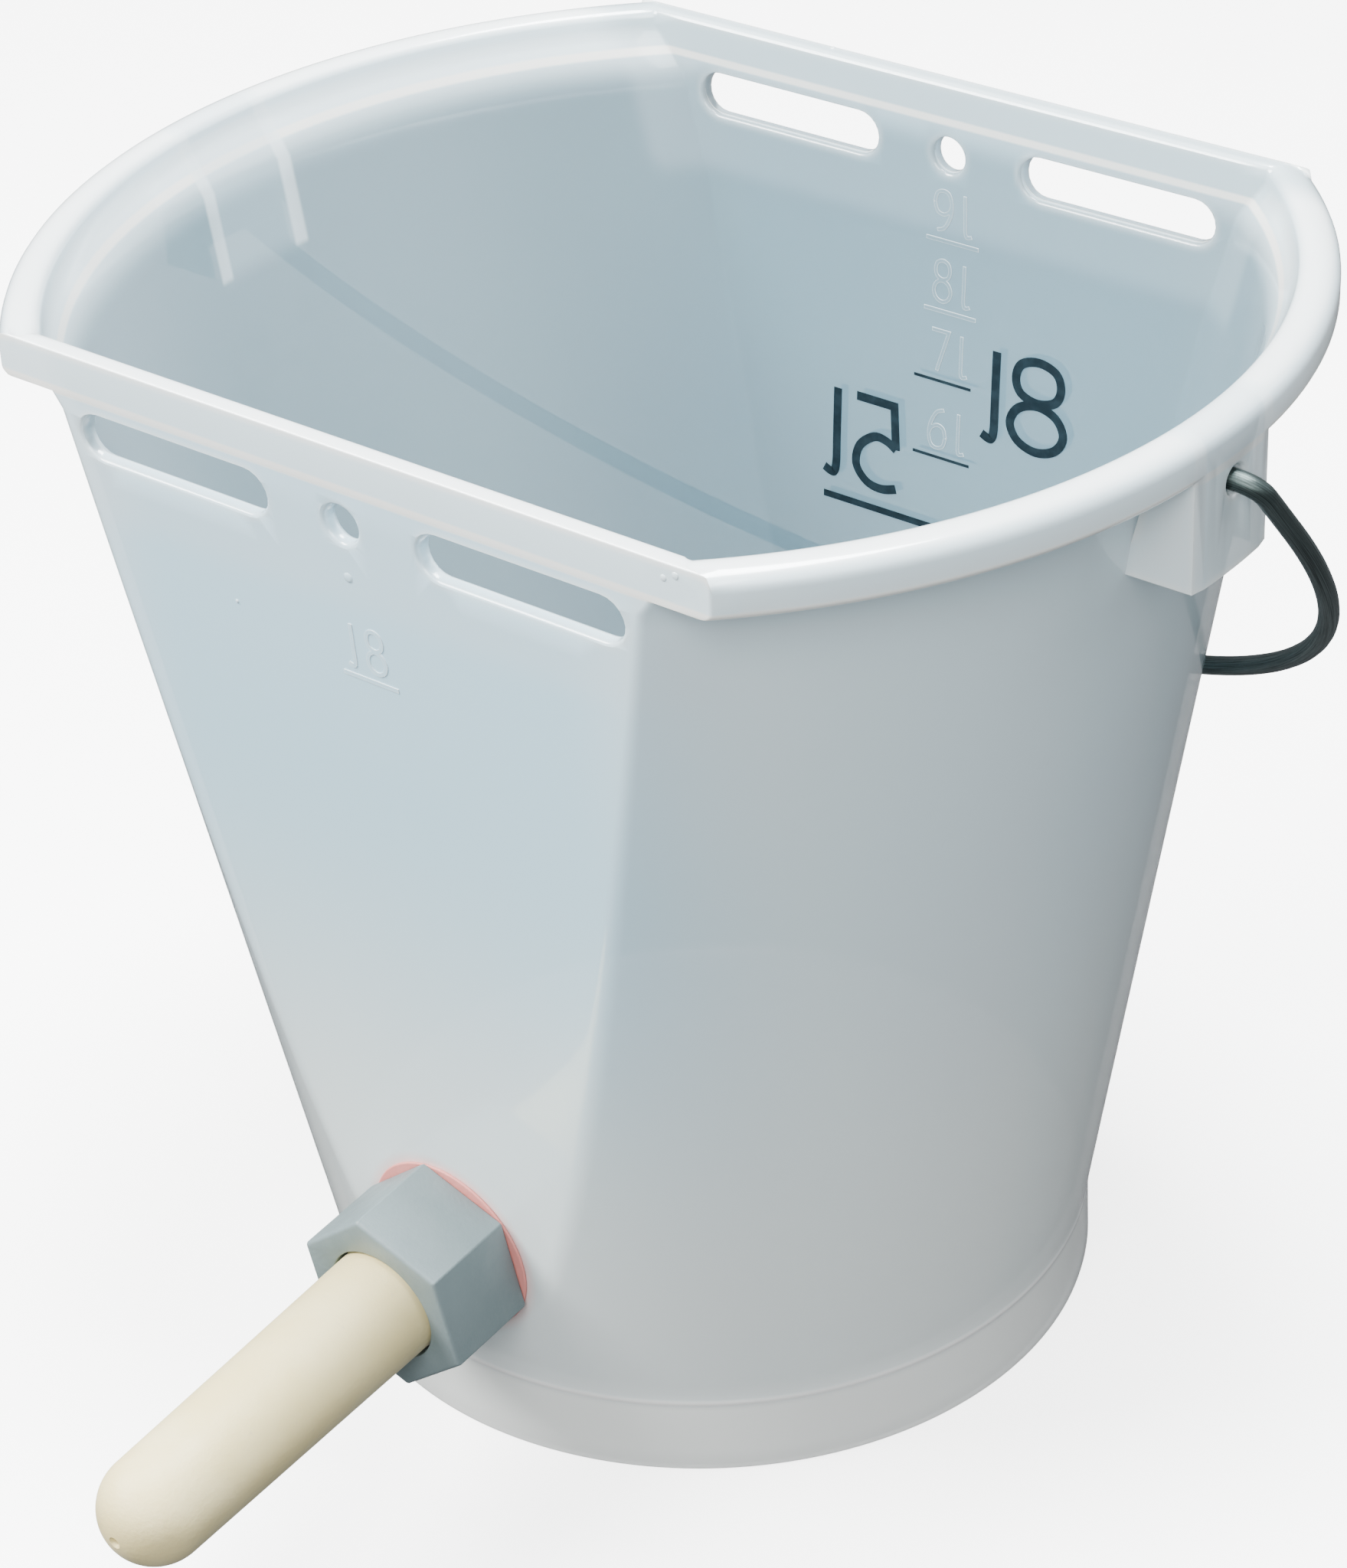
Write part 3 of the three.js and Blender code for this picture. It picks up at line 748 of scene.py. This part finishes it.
def stroke(path, width, depth, place, closed, name):
    """A flat bar of one width along a path in the wall's plane, from depth[0] to depth[1] off it."""
    before, after = np.roll(path, 1, axis=0), np.roll(path, -1, axis=0)
    if not closed:
        before[0], after[-1] = path[0], path[-1]
    into, out_of = path - before, after - path
    if not closed:
        into[0], out_of[-1] = out_of[0], into[-1]
    into /= np.linalg.norm(into, axis=1)[:, None]
    out_of /= np.linalg.norm(out_of, axis=1)[:, None]
    ahead = into + out_of
    ahead /= np.linalg.norm(ahead, axis=1)[:, None]
    mitre = 1 / np.clip((ahead * out_of).sum(axis=1), 0.5, 1)
    side = np.stack([-ahead[:, 1], ahead[:, 0]], axis=1) * (mitre * width / 2)[:, None]
    rings = []
    for p, s in zip(path, side):
        left, right = p + s, p - s
        corners = [(*left, depth[0]), (*right, depth[0]), (*right, depth[1]), (*left, depth[1])]
        rings.append(np.array([place @ Vector(c) for c in corners]))
    return new_object(name, *closed_tube(rings, loop=closed))


def glyph(character, corner, size, width, depth, place, name):
    """A character's strokes, joined into one solid. corner is its lower left, size its width and height."""
    whole = None
    for points, kind in GLYPHS[character]:
        path = np.array(points, float) if kind == "straight" else smooth_path(points, kind == "closed")
        path = path * np.array(size) + np.array(corner)
        piece = stroke(path, width, depth, place, kind == "closed", name)
        if whole is None:
            whole = piece
        else:
            boolean(whole, piece, "UNION")
    return whole


INK = 0.07  # thickness of the print
INK_GAP = 0.02  # between the print and the wall
PRINT_WIDTH = 2.5
# The printed characters: x of the left side when read from behind, z of the foot, width and height.
PRINTED = (
    ("8", 37.3, 191.7, 16.3, 24.8),
    ("l", 16.2, 191.7, 3.7, 24.5),
    ("5", -13.8, 167.9, 13.2, 24.5),
    ("l", -33.2, 168.4, 3.8, 24.5),
)
# The printed lines: z, x of both ends, and width.
TICKS = ((203.4, -9.1, 8.6, 0.8), (181.9, -8.7, 9.0, 0.8), (161.5, -37.0, 9.0, 1.9))


def printed_scale():
    """The inked marks, on the outer face of the back wall and showing through on its inner face."""
    pieces = []
    for layer, off in (("print", INK_GAP), ("show_through", -WALL - INK_GAP - INK)):
        depth = (off, off + INK)
        for i, (character, x, z, wide, high) in enumerate(PRINTED):
            place = on_flat_wall(1, z, x)
            name = f"{layer}_mark_{i}"
            pieces.append(glyph(character, (0, 0), (wide, high), PRINT_WIDTH, depth, place, name))
        for i, (z, x0, x1, thick) in enumerate(TICKS):
            path = np.array([(-x0, 0.0), (-x1, 0.0)])
            pieces.append(stroke(path, thick, depth, on_flat_wall(1, z), False, f"{layer}_line_{i}"))
    return pieces


# The moulded marks: how far they stand proud of an inner face, and how far the front wall's eight
# shows on its outer face. Their roots reach into the wall, to join it.
RELIEF, RELIEF_ROOT = 0.12, -0.6
SHOW_THROUGH, SHOW_THROUGH_ROOT = 0.18, -0.5
MOULDED_WIDTH = 0.95
# The moulded marks of each flat wall: its side, their x, and the heights of 9, 8, 7 and 6 litres.
MOULDED = (
    (1, 1.3, (242.2, 223.0, 203.8, 182.1)),
    (-1, -0.8, (242.5, 223.4, 204.0, 182.5)),
)


def moulded_scale():
    """The raised litre marks on the inner faces of the flat walls, which read from the inside.

    The back wall's two lower ones have no line of their own: a printed line lies there.
    """
    pieces = []
    for side, x, heights in MOULDED:
        for character, z in zip("9876", heights):
            place = on_flat_wall(side, z, x, inner=True)
            underlined = side < 0 or character in "98"
            pieces += litre_mark(character, place, (RELIEF_ROOT, RELIEF), underlined)
    # The front wall's eight also shows faintly on its outer face, and there it reads mirrored.
    place = on_flat_wall(-1, 226.0, 2.3) @ Matrix.Scale(-1, 4, (1, 0, 0))
    pieces += litre_mark("8", place, (SHOW_THROUGH_ROOT, SHOW_THROUGH), True)
    return pieces


def litre_mark(character, place, depth, underlined):
    """A number and its l, over a line through the place's origin."""
    marks = []
    for sign, x, wide in ((character, -5.2, 5.2), ("l", 4.0, 1.9)):
        marks.append(glyph(sign, (x, 2.6), (wide, 11.2), MOULDED_WIDTH, depth, place, "relief"))
    if underlined:
        path = np.array([(-8.0, 0.0), (8.0, 0.0)])
        marks.append(stroke(path, 1.05, depth, place, False, "relief"))
    return marks


# ---- Materials ----


class Nodes:
    """A material's node tree, with short calls to add nodes and link them."""

    def __init__(self, name):
        self.material = bpy.data.materials.new(name)
        self.material.use_nodes = True
        self.tree = self.material.node_tree
        self.shader = self.tree.nodes["Principled BSDF"]

    def add(self, kind, **settings):
        node = self.tree.nodes.new(kind)
        for key, value in settings.items():
            setattr(node, key, value)
        return node

    def link(self, source, target):
        self.tree.links.new(source, target)

    def position(self):
        return self.add("ShaderNodeTexCoord").outputs["Object"]

    def noise(self, vector, scale, detail=3.0, roughness=0.55):
        node = self.add("ShaderNodeTexNoise")
        node.inputs["Scale"].default_value = scale
        node.inputs["Detail"].default_value = detail
        node.inputs["Roughness"].default_value = roughness
        self.link(vector, node.inputs["Vector"])
        return node.outputs["Fac"]

    def stretched(self, vector, scale):
        node = self.add("ShaderNodeMapping")
        node.inputs["Scale"].default_value = scale
        self.link(vector, node.inputs["Vector"])
        return node.outputs["Vector"]

    def ramp(self, value, low, high, to_low=0.0, to_high=1.0):
        node = self.add("ShaderNodeMapRange", interpolation_type="SMOOTHSTEP")
        sockets = ("From Min", "From Max", "To Min", "To Max")
        for socket, number in zip(sockets, (low, high, to_low, to_high)):
            node.inputs[socket].default_value = number
        self.link(value, node.inputs["Value"])
        return node.outputs["Result"]

    def mix(self, share, first, second):
        """A colour mix; each of first and second is a colour or a socket."""
        node = self.add("ShaderNodeMix", data_type="RGBA")
        self.put(share, node.inputs[0])
        self.put(first, node.inputs[6])
        self.put(second, node.inputs[7])
        return node.outputs[2]

    def maths(self, operation, first, second):
        node = self.add("ShaderNodeMath", operation=operation)
        self.put(first, node.inputs[0])
        self.put(second, node.inputs[1])
        return node.outputs[0]

    def times(self, *factors):
        """The product of sockets and numbers, the first of them a socket."""
        product = factors[0]
        for factor in factors[1:]:
            product = self.maths("MULTIPLY", product, factor)
        return product

    def near(self, value, centre, core, edge, strength=1.0):
        """strength within core of the centre, falling to 0 at edge."""
        off = self.maths("ABSOLUTE", self.maths("SUBTRACT", value, centre), 0.0)
        return self.ramp(off, core, edge, strength, 0.0)

    def axes(self, vector):
        node = self.add("ShaderNodeSeparateXYZ")
        self.link(vector, node.inputs[0])
        return node.outputs

    def combine(self, operation, first, second):
        """A number from two vectors; the second may be a plain tuple."""
        node = self.add("ShaderNodeVectorMath", operation=operation)
        self.link(first, node.inputs[0])
        if isinstance(second, tuple):
            node.inputs[1].default_value = second
        else:
            self.link(second, node.inputs[1])
        return node.outputs["Value"]

    def put(self, value, socket):
        if isinstance(value, bpy.types.NodeSocket):
            self.link(value, socket)
        elif isinstance(value, tuple):
            socket.default_value = (*value, 1.0)
        else:
            socket.default_value = value

    def bump(self, height, strength, distance=0.001):
        node = self.add("ShaderNodeBump")
        node.inputs["Strength"].default_value = strength
        node.inputs["Distance"].default_value = distance
        self.link(height, node.inputs["Height"])
        self.link(node.outputs["Normal"], self.shader.inputs["Normal"])

    def set(self, **values):
        for name, value in values.items():
            self.put(value, self.shader.inputs[name.replace("_", " ")])


# The bucket's plastic in linear RGB: one colour for each part of it that the light shows differently. All
# but cloudy are painted light and shade, standing in for how the light falls on and through the plastic.
PLASTIC_AND_PAINTED_LIGHT = {
    # low and high: painted light, lighter and warmer low down and bluish higher up.
    "low": (0.86, 0.94, 0.93),
    "high": (0.5, 0.76, 0.91),
    # curved: painted light, lighter and warmer on the curved walls.
    "curved": (0.9, 0.97, 0.95),
    "cloudy": (0.68, 0.76, 0.84),
    # thick: painted light, a lighter band where the flat walls are thicker near the top.
    "thick": (0.68, 0.8, 0.86),
    # inner: painted shade on the inner faces.
    "inner": (0.09, 0.17, 0.215),
    # floor: painted shade on the inner floor.
    "floor": (0.17, 0.25, 0.29),
    # Painted highlight along the fillet where the inner floor meets the walls.
    "floor_line_highlight": (0.9, 0.9, 0.84),
    # rim: painted light, the rim lighter than the walls.
    "rim": (0.7, 0.85, 0.92),
    # Painted highlight along the rim's top.
    "crown_highlight": (0.97, 1.0, 1.0),
    # Painted shade on the rim at the back.
    "rear_rim_shade": (0.36, 0.49, 0.55),
    # foot and bead: painted light, the foot lighter and a painted highlight on the bead.
    "foot": (0.86, 0.87, 0.84),
    "bead": (0.96, 0.96, 0.95),
    # lip: painted highlight along the rim's lower lip.
    "lip": (1.0, 0.97, 0.91),
    # lug: painted shade round the lugs.
    "lug": (0.5, 0.63, 0.7),
    # Painted light on the lugs' side plates, where they show through the wall.
    "lug_plate_light": (0.8, 0.9, 0.94),
    # edge: painted glow where the plastic is thin at its edges.
    "edge": (0.94, 0.97, 0.95),
    # Painted glow round the red ring.
    "painted_ring_glow": (0.92, 0.58, 0.55),
}
# Painted glow at edges: how far in the AO node looks for the plastic's other face.
EDGE_REACH = 2.7  # a spot with less plastic than this behind it counts as an edge


def bucket_plastic():
    """Milky polypropylene, its colour painted with light and shade: a painted glow where light leaves it at
    edges, and painted light where it is doubled.
    """
    n = Nodes("bucket_plastic")
    at = n.position()
    millimetres = n.stretched(at, (1 / MM, 1 / MM, 1 / MM))
    x, y, z = n.axes(millimetres)
    wide = n.maths("ABSOLUTE", x, 0.0)
    deep = n.maths("ABSOLUTE", y, 0.0)
    cloud = n.noise(at, 7.0)
    # Where the flat walls are thicker near the top: painted light, a lighter band outside and less painted
    # shade inside.
    thick = n.times(n.ramp(z, 239, 250), n.ramp(deep, 100, 106))
    tone = outer_painted_light(n, z, wide, thick, cloud)
    tone = inner_painted_shade(n, tone, millimetres, thick)
    tone = rim_and_foot_painted_light(n, tone, y, z)
    tone = lug_painted_shade_and_light(n, tone, wide, deep, z)
    # Painted glow at edges: the AO node finds where the solid is thinner than a wall, and there the colour
    # is painted whiter.
    inside = n.add("ShaderNodeAmbientOcclusion", inside=True, only_local=True, samples=5)
    inside.inputs["Distance"].default_value = EDGE_REACH * MM
    tone = n.mix(n.times(n.ramp(inside.outputs["AO"], 0.35, 0.95, 1.0, 0.0), 0.8), tone, PLASTIC_AND_PAINTED_LIGHT["edge"])
    # Painted glow: the red ring's light is painted pink into the wall round it.
    from_ring = n.combine("DISTANCE", millimetres, (0.0, -flat_wall_y(TEAT_Z), TEAT_Z))
    tone = n.mix(n.ramp(from_ring, 23.4, 27.2, 0.55, 0.0), tone, PLASTIC_AND_PAINTED_LIGHT["painted_ring_glow"])
    n.set(Base_Color=tone, Roughness=n.ramp(cloud, 0.3, 0.7, 0.29, 0.32))
    n.set(Alpha=0.88, IOR=1.49, Specular_IOR_Level=0.65, Coat_Weight=1.0, Coat_Roughness=0.06)
    n.bump(n.noise(at, 520.0, 2.0), 0.015)
    return n.material


def outer_painted_light(n, z, wide, thick, cloud):
    """Outer faces: painted light, bluish above and lighter and warmer below and on the curved walls; a
    little clouded at random; and a lighter painted band where the flat walls are thicker.
    """
    # Painted light: lighter and warmer low down, bluish higher up.
    tone = n.mix(n.ramp(z, 40, 200), PLASTIC_AND_PAINTED_LIGHT["low"], PLASTIC_AND_PAINTED_LIGHT["high"])
    # Painted light: lighter and warmer on the curved walls.
    tone = n.mix(n.ramp(wide, 55, 100, 0.0, 0.55), tone, PLASTIC_AND_PAINTED_LIGHT["curved"])
    tone = n.mix(n.ramp(cloud, 0.35, 0.7, 0.0, 0.2), tone, PLASTIC_AND_PAINTED_LIGHT["cloudy"])
    # The lighter painted band where the flat walls are thicker.
    return n.mix(n.times(thick, 0.3), tone, PLASTIC_AND_PAINTED_LIGHT["thick"])


def inner_painted_shade(n, tone, millimetres, thick):
    """Painted shade on the inner faces, which light reaches through the mouth and the walls only, with
    painted shade on the floor and a painted highlight along the floor's fillet.
    """
    x, y, z = n.axes(millimetres)
    normal = n.add("ShaderNodeTexCoord").outputs["Normal"]
    outward = n.combine("DOT_PRODUCT", normal, n.stretched(millimetres, (1.0, 1.0, 0.0)))
    # Painted shade on the inner faces; its strength changes across the bucket, and it is less where the
    # flat walls are thicker.
    inner = n.times(n.ramp(outward, -30, -10, 1.0, 0.0), n.ramp(z, 265, 281, 1.0, 0.0))
    depth = n.times(n.ramp(y, 30, 100, 0.8, 0.92), n.ramp(y, -90, -10, 0.78, 1.0))
    depth = n.times(depth, n.ramp(thick, 0.0, 1.0, 1.0, 0.86), n.ramp(x, 95, 125, 1.0, 0.68))
    tone = n.mix(n.times(inner, depth), tone, PLASTIC_AND_PAINTED_LIGHT["inner"])
    # Painted shade on the inner floor.
    upward = n.axes(normal)[2]
    floor = n.times(n.ramp(upward, 0.7, 0.98), n.ramp(z, FLOOR_TOP + 0.5, FLOOR_TOP + 4.5, 0.8, 0.0))
    tone = n.mix(floor, tone, PLASTIC_AND_PAINTED_LIGHT["floor"])
    # Painted highlight along the floor's fillet.
    floor_line_highlight = n.near(z, FLOOR_TOP + 1.2, 0.4, 1.1)
    return n.mix(n.times(floor_line_highlight, inner, 0.8), tone, PLASTIC_AND_PAINTED_LIGHT["floor_line_highlight"])


def rim_and_foot_painted_light(n, tone, y, z):
    """Painted light on the rim and the foot: the rim lighter, with painted shade at the back, a painted
    highlight on its top and on its lower lip, and the foot lighter, with a painted highlight on its bead.
    """
    under = HEIGHT - RIM_DEPTH
    # The rim painted lighter, and a painted highlight along its top.
    tone = n.mix(n.ramp(z, under - 0.8, under + 2.2, 0.0, 0.95), tone, PLASTIC_AND_PAINTED_LIGHT["rim"])
    tone = n.mix(n.ramp(z, HEIGHT - 2.2, HEIGHT - 0.2, 0.0, 0.7), tone, PLASTIC_AND_PAINTED_LIGHT["crown_highlight"])
    # Painted shade on the rim at the back.
    rear = n.times(n.ramp(y, 98, 110, 0.0, 0.75), n.ramp(z, under - 4.3, under + 1.7))
    tone = n.mix(rear, tone, PLASTIC_AND_PAINTED_LIGHT["rear_rim_shade"])
    # The foot painted lighter, and a painted highlight on its bead.
    tone = n.mix(n.ramp(z, FOOT_HEIGHT - 1.5, FOOT_HEIGHT - 0.4, 0.6, 0.0), tone, PLASTIC_AND_PAINTED_LIGHT["foot"])
    tone = n.mix(n.near(z, FOOT_HEIGHT + 0.3, 0.3, 1.4, 0.85), tone, PLASTIC_AND_PAINTED_LIGHT["bead"])
    # Painted highlight along the rim's lower lip.
    return n.mix(n.near(z, under + 0.7, 0.6, 1.4, 0.8), tone, PLASTIC_AND_PAINTED_LIGHT["lip"])


def lug_painted_shade_and_light(n, tone, wide, deep, z):
    """Painted shade on the lugs, and painted light on their side plates, which show through the curved
    walls.
    """
    # Painted shade round the lugs.
    lug = n.times(n.ramp(deep, 12, 16, 0.4, 0.0), n.ramp(z, 244, 252), n.ramp(wide, 120, 130))
    tone = n.mix(lug, tone, PLASTIC_AND_PAINTED_LIGHT["lug"])
    # Painted light on the lugs' side plates, where they show through the wall.
    plate = n.near(deep, LUG_HALF_WIDTH - SKIRT / 2, 1.4, 2.7)
    above = n.ramp(z, LUG_BOTTOM - 0.9, LUG_BOTTOM + 1.1)
    plate = n.times(plate, above, n.ramp(wide, 127.5, 130), 0.6)
    return n.mix(plate, tone, PLASTIC_AND_PAINTED_LIGHT["lug_plate_light"])


def nut_plastic(name):
    n = Nodes(name)
    at = n.position()
    tone = n.mix(n.ramp(n.noise(at, 55.0, 5.0), 0.3, 0.7), (0.16, 0.212, 0.225), (0.185, 0.24, 0.253))
    n.set(Base_Color=tone)
    n.set(Roughness=n.ramp(n.noise(at, 160.0), 0.3, 0.7, 0.42, 0.55), IOR=1.5)
    n.bump(n.noise(at, 900.0, 3.0), 0.12)
    return n.material


def ball_plastic():
    n = Nodes("ball_plastic")
    at = n.position()
    n.set(Base_Color=n.mix(n.noise(at, 90.0), (0.78, 0.79, 0.78), (0.84, 0.85, 0.84)))
    n.set(Roughness=n.ramp(n.noise(at, 240.0), 0.3, 0.7, 0.3, 0.42))
    n.bump(n.noise(at, 700.0), 0.05)
    return n.material


def teat_rubber():
    n = Nodes("teat_rubber")
    at = n.position()
    tone = n.mix(n.ramp(n.noise(at, 38.0, 5.0), 0.3, 0.7), (0.66, 0.56, 0.27), (0.72, 0.63, 0.35))
    specks = n.ramp(n.noise(at, 620.0, 2.0), 0.68, 0.75)
    n.set(Base_Color=n.mix(n.times(specks, 0.25), tone, (0.5, 0.44, 0.34)))
    n.set(Roughness=n.ramp(n.noise(at, 120.0), 0.3, 0.7, 0.46, 0.6))
    n.set(Sheen_Weight=0.15, Sheen_Roughness=0.4)
    n.bump(n.noise(at, 800.0, 4.0), 0.12)
    return n.material


def seal_rubber():
    n = Nodes("seal_rubber")
    at = n.position()
    n.set(Base_Color=n.mix(n.noise(at, 130.0, 4.0), (0.62, 0.2, 0.18), (0.72, 0.3, 0.27)))
    n.set(Roughness=n.ramp(n.noise(at, 300.0), 0.3, 0.7, 0.5, 0.65))
    n.bump(n.noise(at, 900.0), 0.15)
    return n.material


def bail_wire():
    n = Nodes("bail_wire")
    uv = n.add("ShaderNodeUVMap", uv_map="along").outputs[0]
    drawn = n.noise(n.stretched(uv, (14.0, 26.0, 1.0)), 2.0, 6.0, 0.7)
    fine = n.noise(n.stretched(uv, (60.0, 90.0, 1.0)), 2.0, 4.0, 0.6)
    tone = n.mix(n.ramp(drawn, 0.32, 0.68), (0.03, 0.042, 0.042), (0.15, 0.195, 0.19))
    n.set(Base_Color=n.mix(n.ramp(fine, 0.6, 0.75, 0.0, 0.4), tone, (0.3, 0.36, 0.36)))
    n.set(Metallic=1.0, Roughness=n.ramp(drawn, 0.3, 0.7, 0.5, 0.3))
    n.bump(fine, 0.25, 0.0004)
    return n.material


def scale_ink():
    n = Nodes("scale_ink")
    at = n.position()
    grain = n.ramp(n.noise(at, 300.0, 4.0), 0.35, 0.7)
    n.set(Base_Color=n.mix(grain, (0.004, 0.011, 0.016), (0.009, 0.02, 0.027)))
    n.set(Roughness=n.ramp(n.noise(at, 200.0), 0.3, 0.7, 0.5, 0.62), Specular_IOR_Level=0.12)
    return n.material


def floor_paint():
    n = Nodes("floor_paint")
    at = n.position()
    n.set(Base_Color=n.mix(n.noise(at, 3.0), (0.86, 0.87, 0.87), (0.9, 0.9, 0.9)))
    n.set(Roughness=n.ramp(n.noise(at, 12.0), 0.3, 0.7, 0.55, 0.7))
    n.set(Emission_Color=(1.0, 1.0, 1.0), Emission_Strength=3.6)
    return n.material


# ---- Camera, lights and floor ----

# The camera and the lights are placed in metres.
AZIMUTH, ELEVATION, ROLL = math.radians(39.193), math.radians(32.367), math.radians(-2.714)
CAMERA_AT = Vector((0.5542, -0.6841, 0.6967))
LENS = 95.8
SHIFT = (-0.0063, -0.001)


def camera():
    """The camera, turned about its own line of sight by ROLL."""
    away = math.cos(ELEVATION)
    back = Vector((math.sin(AZIMUTH) * away, -math.cos(AZIMUTH) * away, math.sin(ELEVATION)))
    right = Vector((math.cos(AZIMUTH), math.sin(AZIMUTH), 0))
    up = back.cross(right)
    right_rolled = math.cos(ROLL) * right + math.sin(ROLL) * up
    up_rolled = math.cos(ROLL) * up - math.sin(ROLL) * right
    data = bpy.data.cameras.new("camera")
    data.lens = LENS
    data.shift_x, data.shift_y = SHIFT
    eye = bpy.data.objects.new("camera", data)
    turn = Matrix((right_rolled, up_rolled, back)).transposed().to_4x4()
    eye.matrix_world = Matrix.Translation(CAMERA_AT) @ turn
    bpy.context.scene.collection.objects.link(eye)
    bpy.context.scene.camera = eye


LIGHT_TARGET = Vector((0, 0, 0.12))
# Each light's name, place, width, power and colour.
LIGHTS = (
    ("key", (-1.25, -1.15, 1.75), 1.1, 165, (1.0, 0.985, 0.96)),
    ("top", (0.0, 0.2, 1.9), 0.7, 125, (0.97, 0.99, 1.0)),
    ("front", (0.75, -1.35, 1.35), 1.2, 48, (1.0, 0.995, 0.98)),
    ("fill", (1.2, 1.5, 1.3), 1.2, 14, (0.95, 0.98, 1.0)),
)
FLOOR_HALF = 5000.0  # millimetres


def square_light(name, at, size, power, colour):
    data = bpy.data.lights.new(name, "AREA")
    data.size = size
    data.energy = power
    data.color = colour
    lamp = bpy.data.objects.new(name, data)
    at = Vector(at)
    aim = (at - LIGHT_TARGET).to_track_quat("Z", "Y").to_matrix().to_4x4()
    lamp.matrix_world = Matrix.Translation(at) @ aim
    bpy.context.scene.collection.objects.link(lamp)


def studio():
    """Soft light, and a pale floor that neither lights the bucket nor shines in it."""
    world = bpy.data.worlds.new("studio")
    world.use_nodes = True
    background = world.node_tree.nodes["Background"]
    background.inputs["Color"].default_value = (0.9, 0.95, 1.0, 1.0)
    background.inputs["Strength"].default_value = 0.28
    bpy.context.scene.world = world
    for light in LIGHTS:
        square_light(*light)
    corners = ((-1, -1), (1, -1), (1, 1), (-1, 1))
    plane = [(x * FLOOR_HALF, y * FLOOR_HALF, 0) for x, y in corners]
    floor = new_object("floor", plane, [(0, 1, 2, 3)])
    floor.data.materials.append(floor_paint())
    floor.visible_diffuse = False
    floor.visible_glossy = False


# ---- Assembly ----


def show(piece, body, slot, material, *nodes):
    """Gives a piece its finish and its body, and hides the CAD nodes it stands for."""
    piece.data.materials.clear()
    piece.data.materials.append(material)
    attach(piece, body)
    if nodes:
        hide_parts(*nodes)


camera()
studio()
show(bucket(), "bucket", "bucket_plastic", bucket_plastic(), "bucket_body")
show(bail(), "bail", "bail_wire", bail_wire(), "bail_handle")
show(union_nut(), "nut", "nut_plastic", nut_plastic("nut_plastic"), "union_nut")
show(teat(), "teat", "teat_rubber", teat_rubber(), "teat")
show(sealing_ring(), "bucket", "seal_rubber", seal_rubber(), "sealing_ring")
show(valve_body(), "bucket", "valve_plastic", nut_plastic("valve_plastic"), "valve_body")
white = ball_plastic()
show(ball(), "ball", "ball_plastic", white, "valve_ball")
show(retainer(), "bucket", "ball_plastic", white, "ball_retainer")
ink = scale_ink()
for mark in printed_scale():
    show(mark, "bucket", "scale_ink", ink)
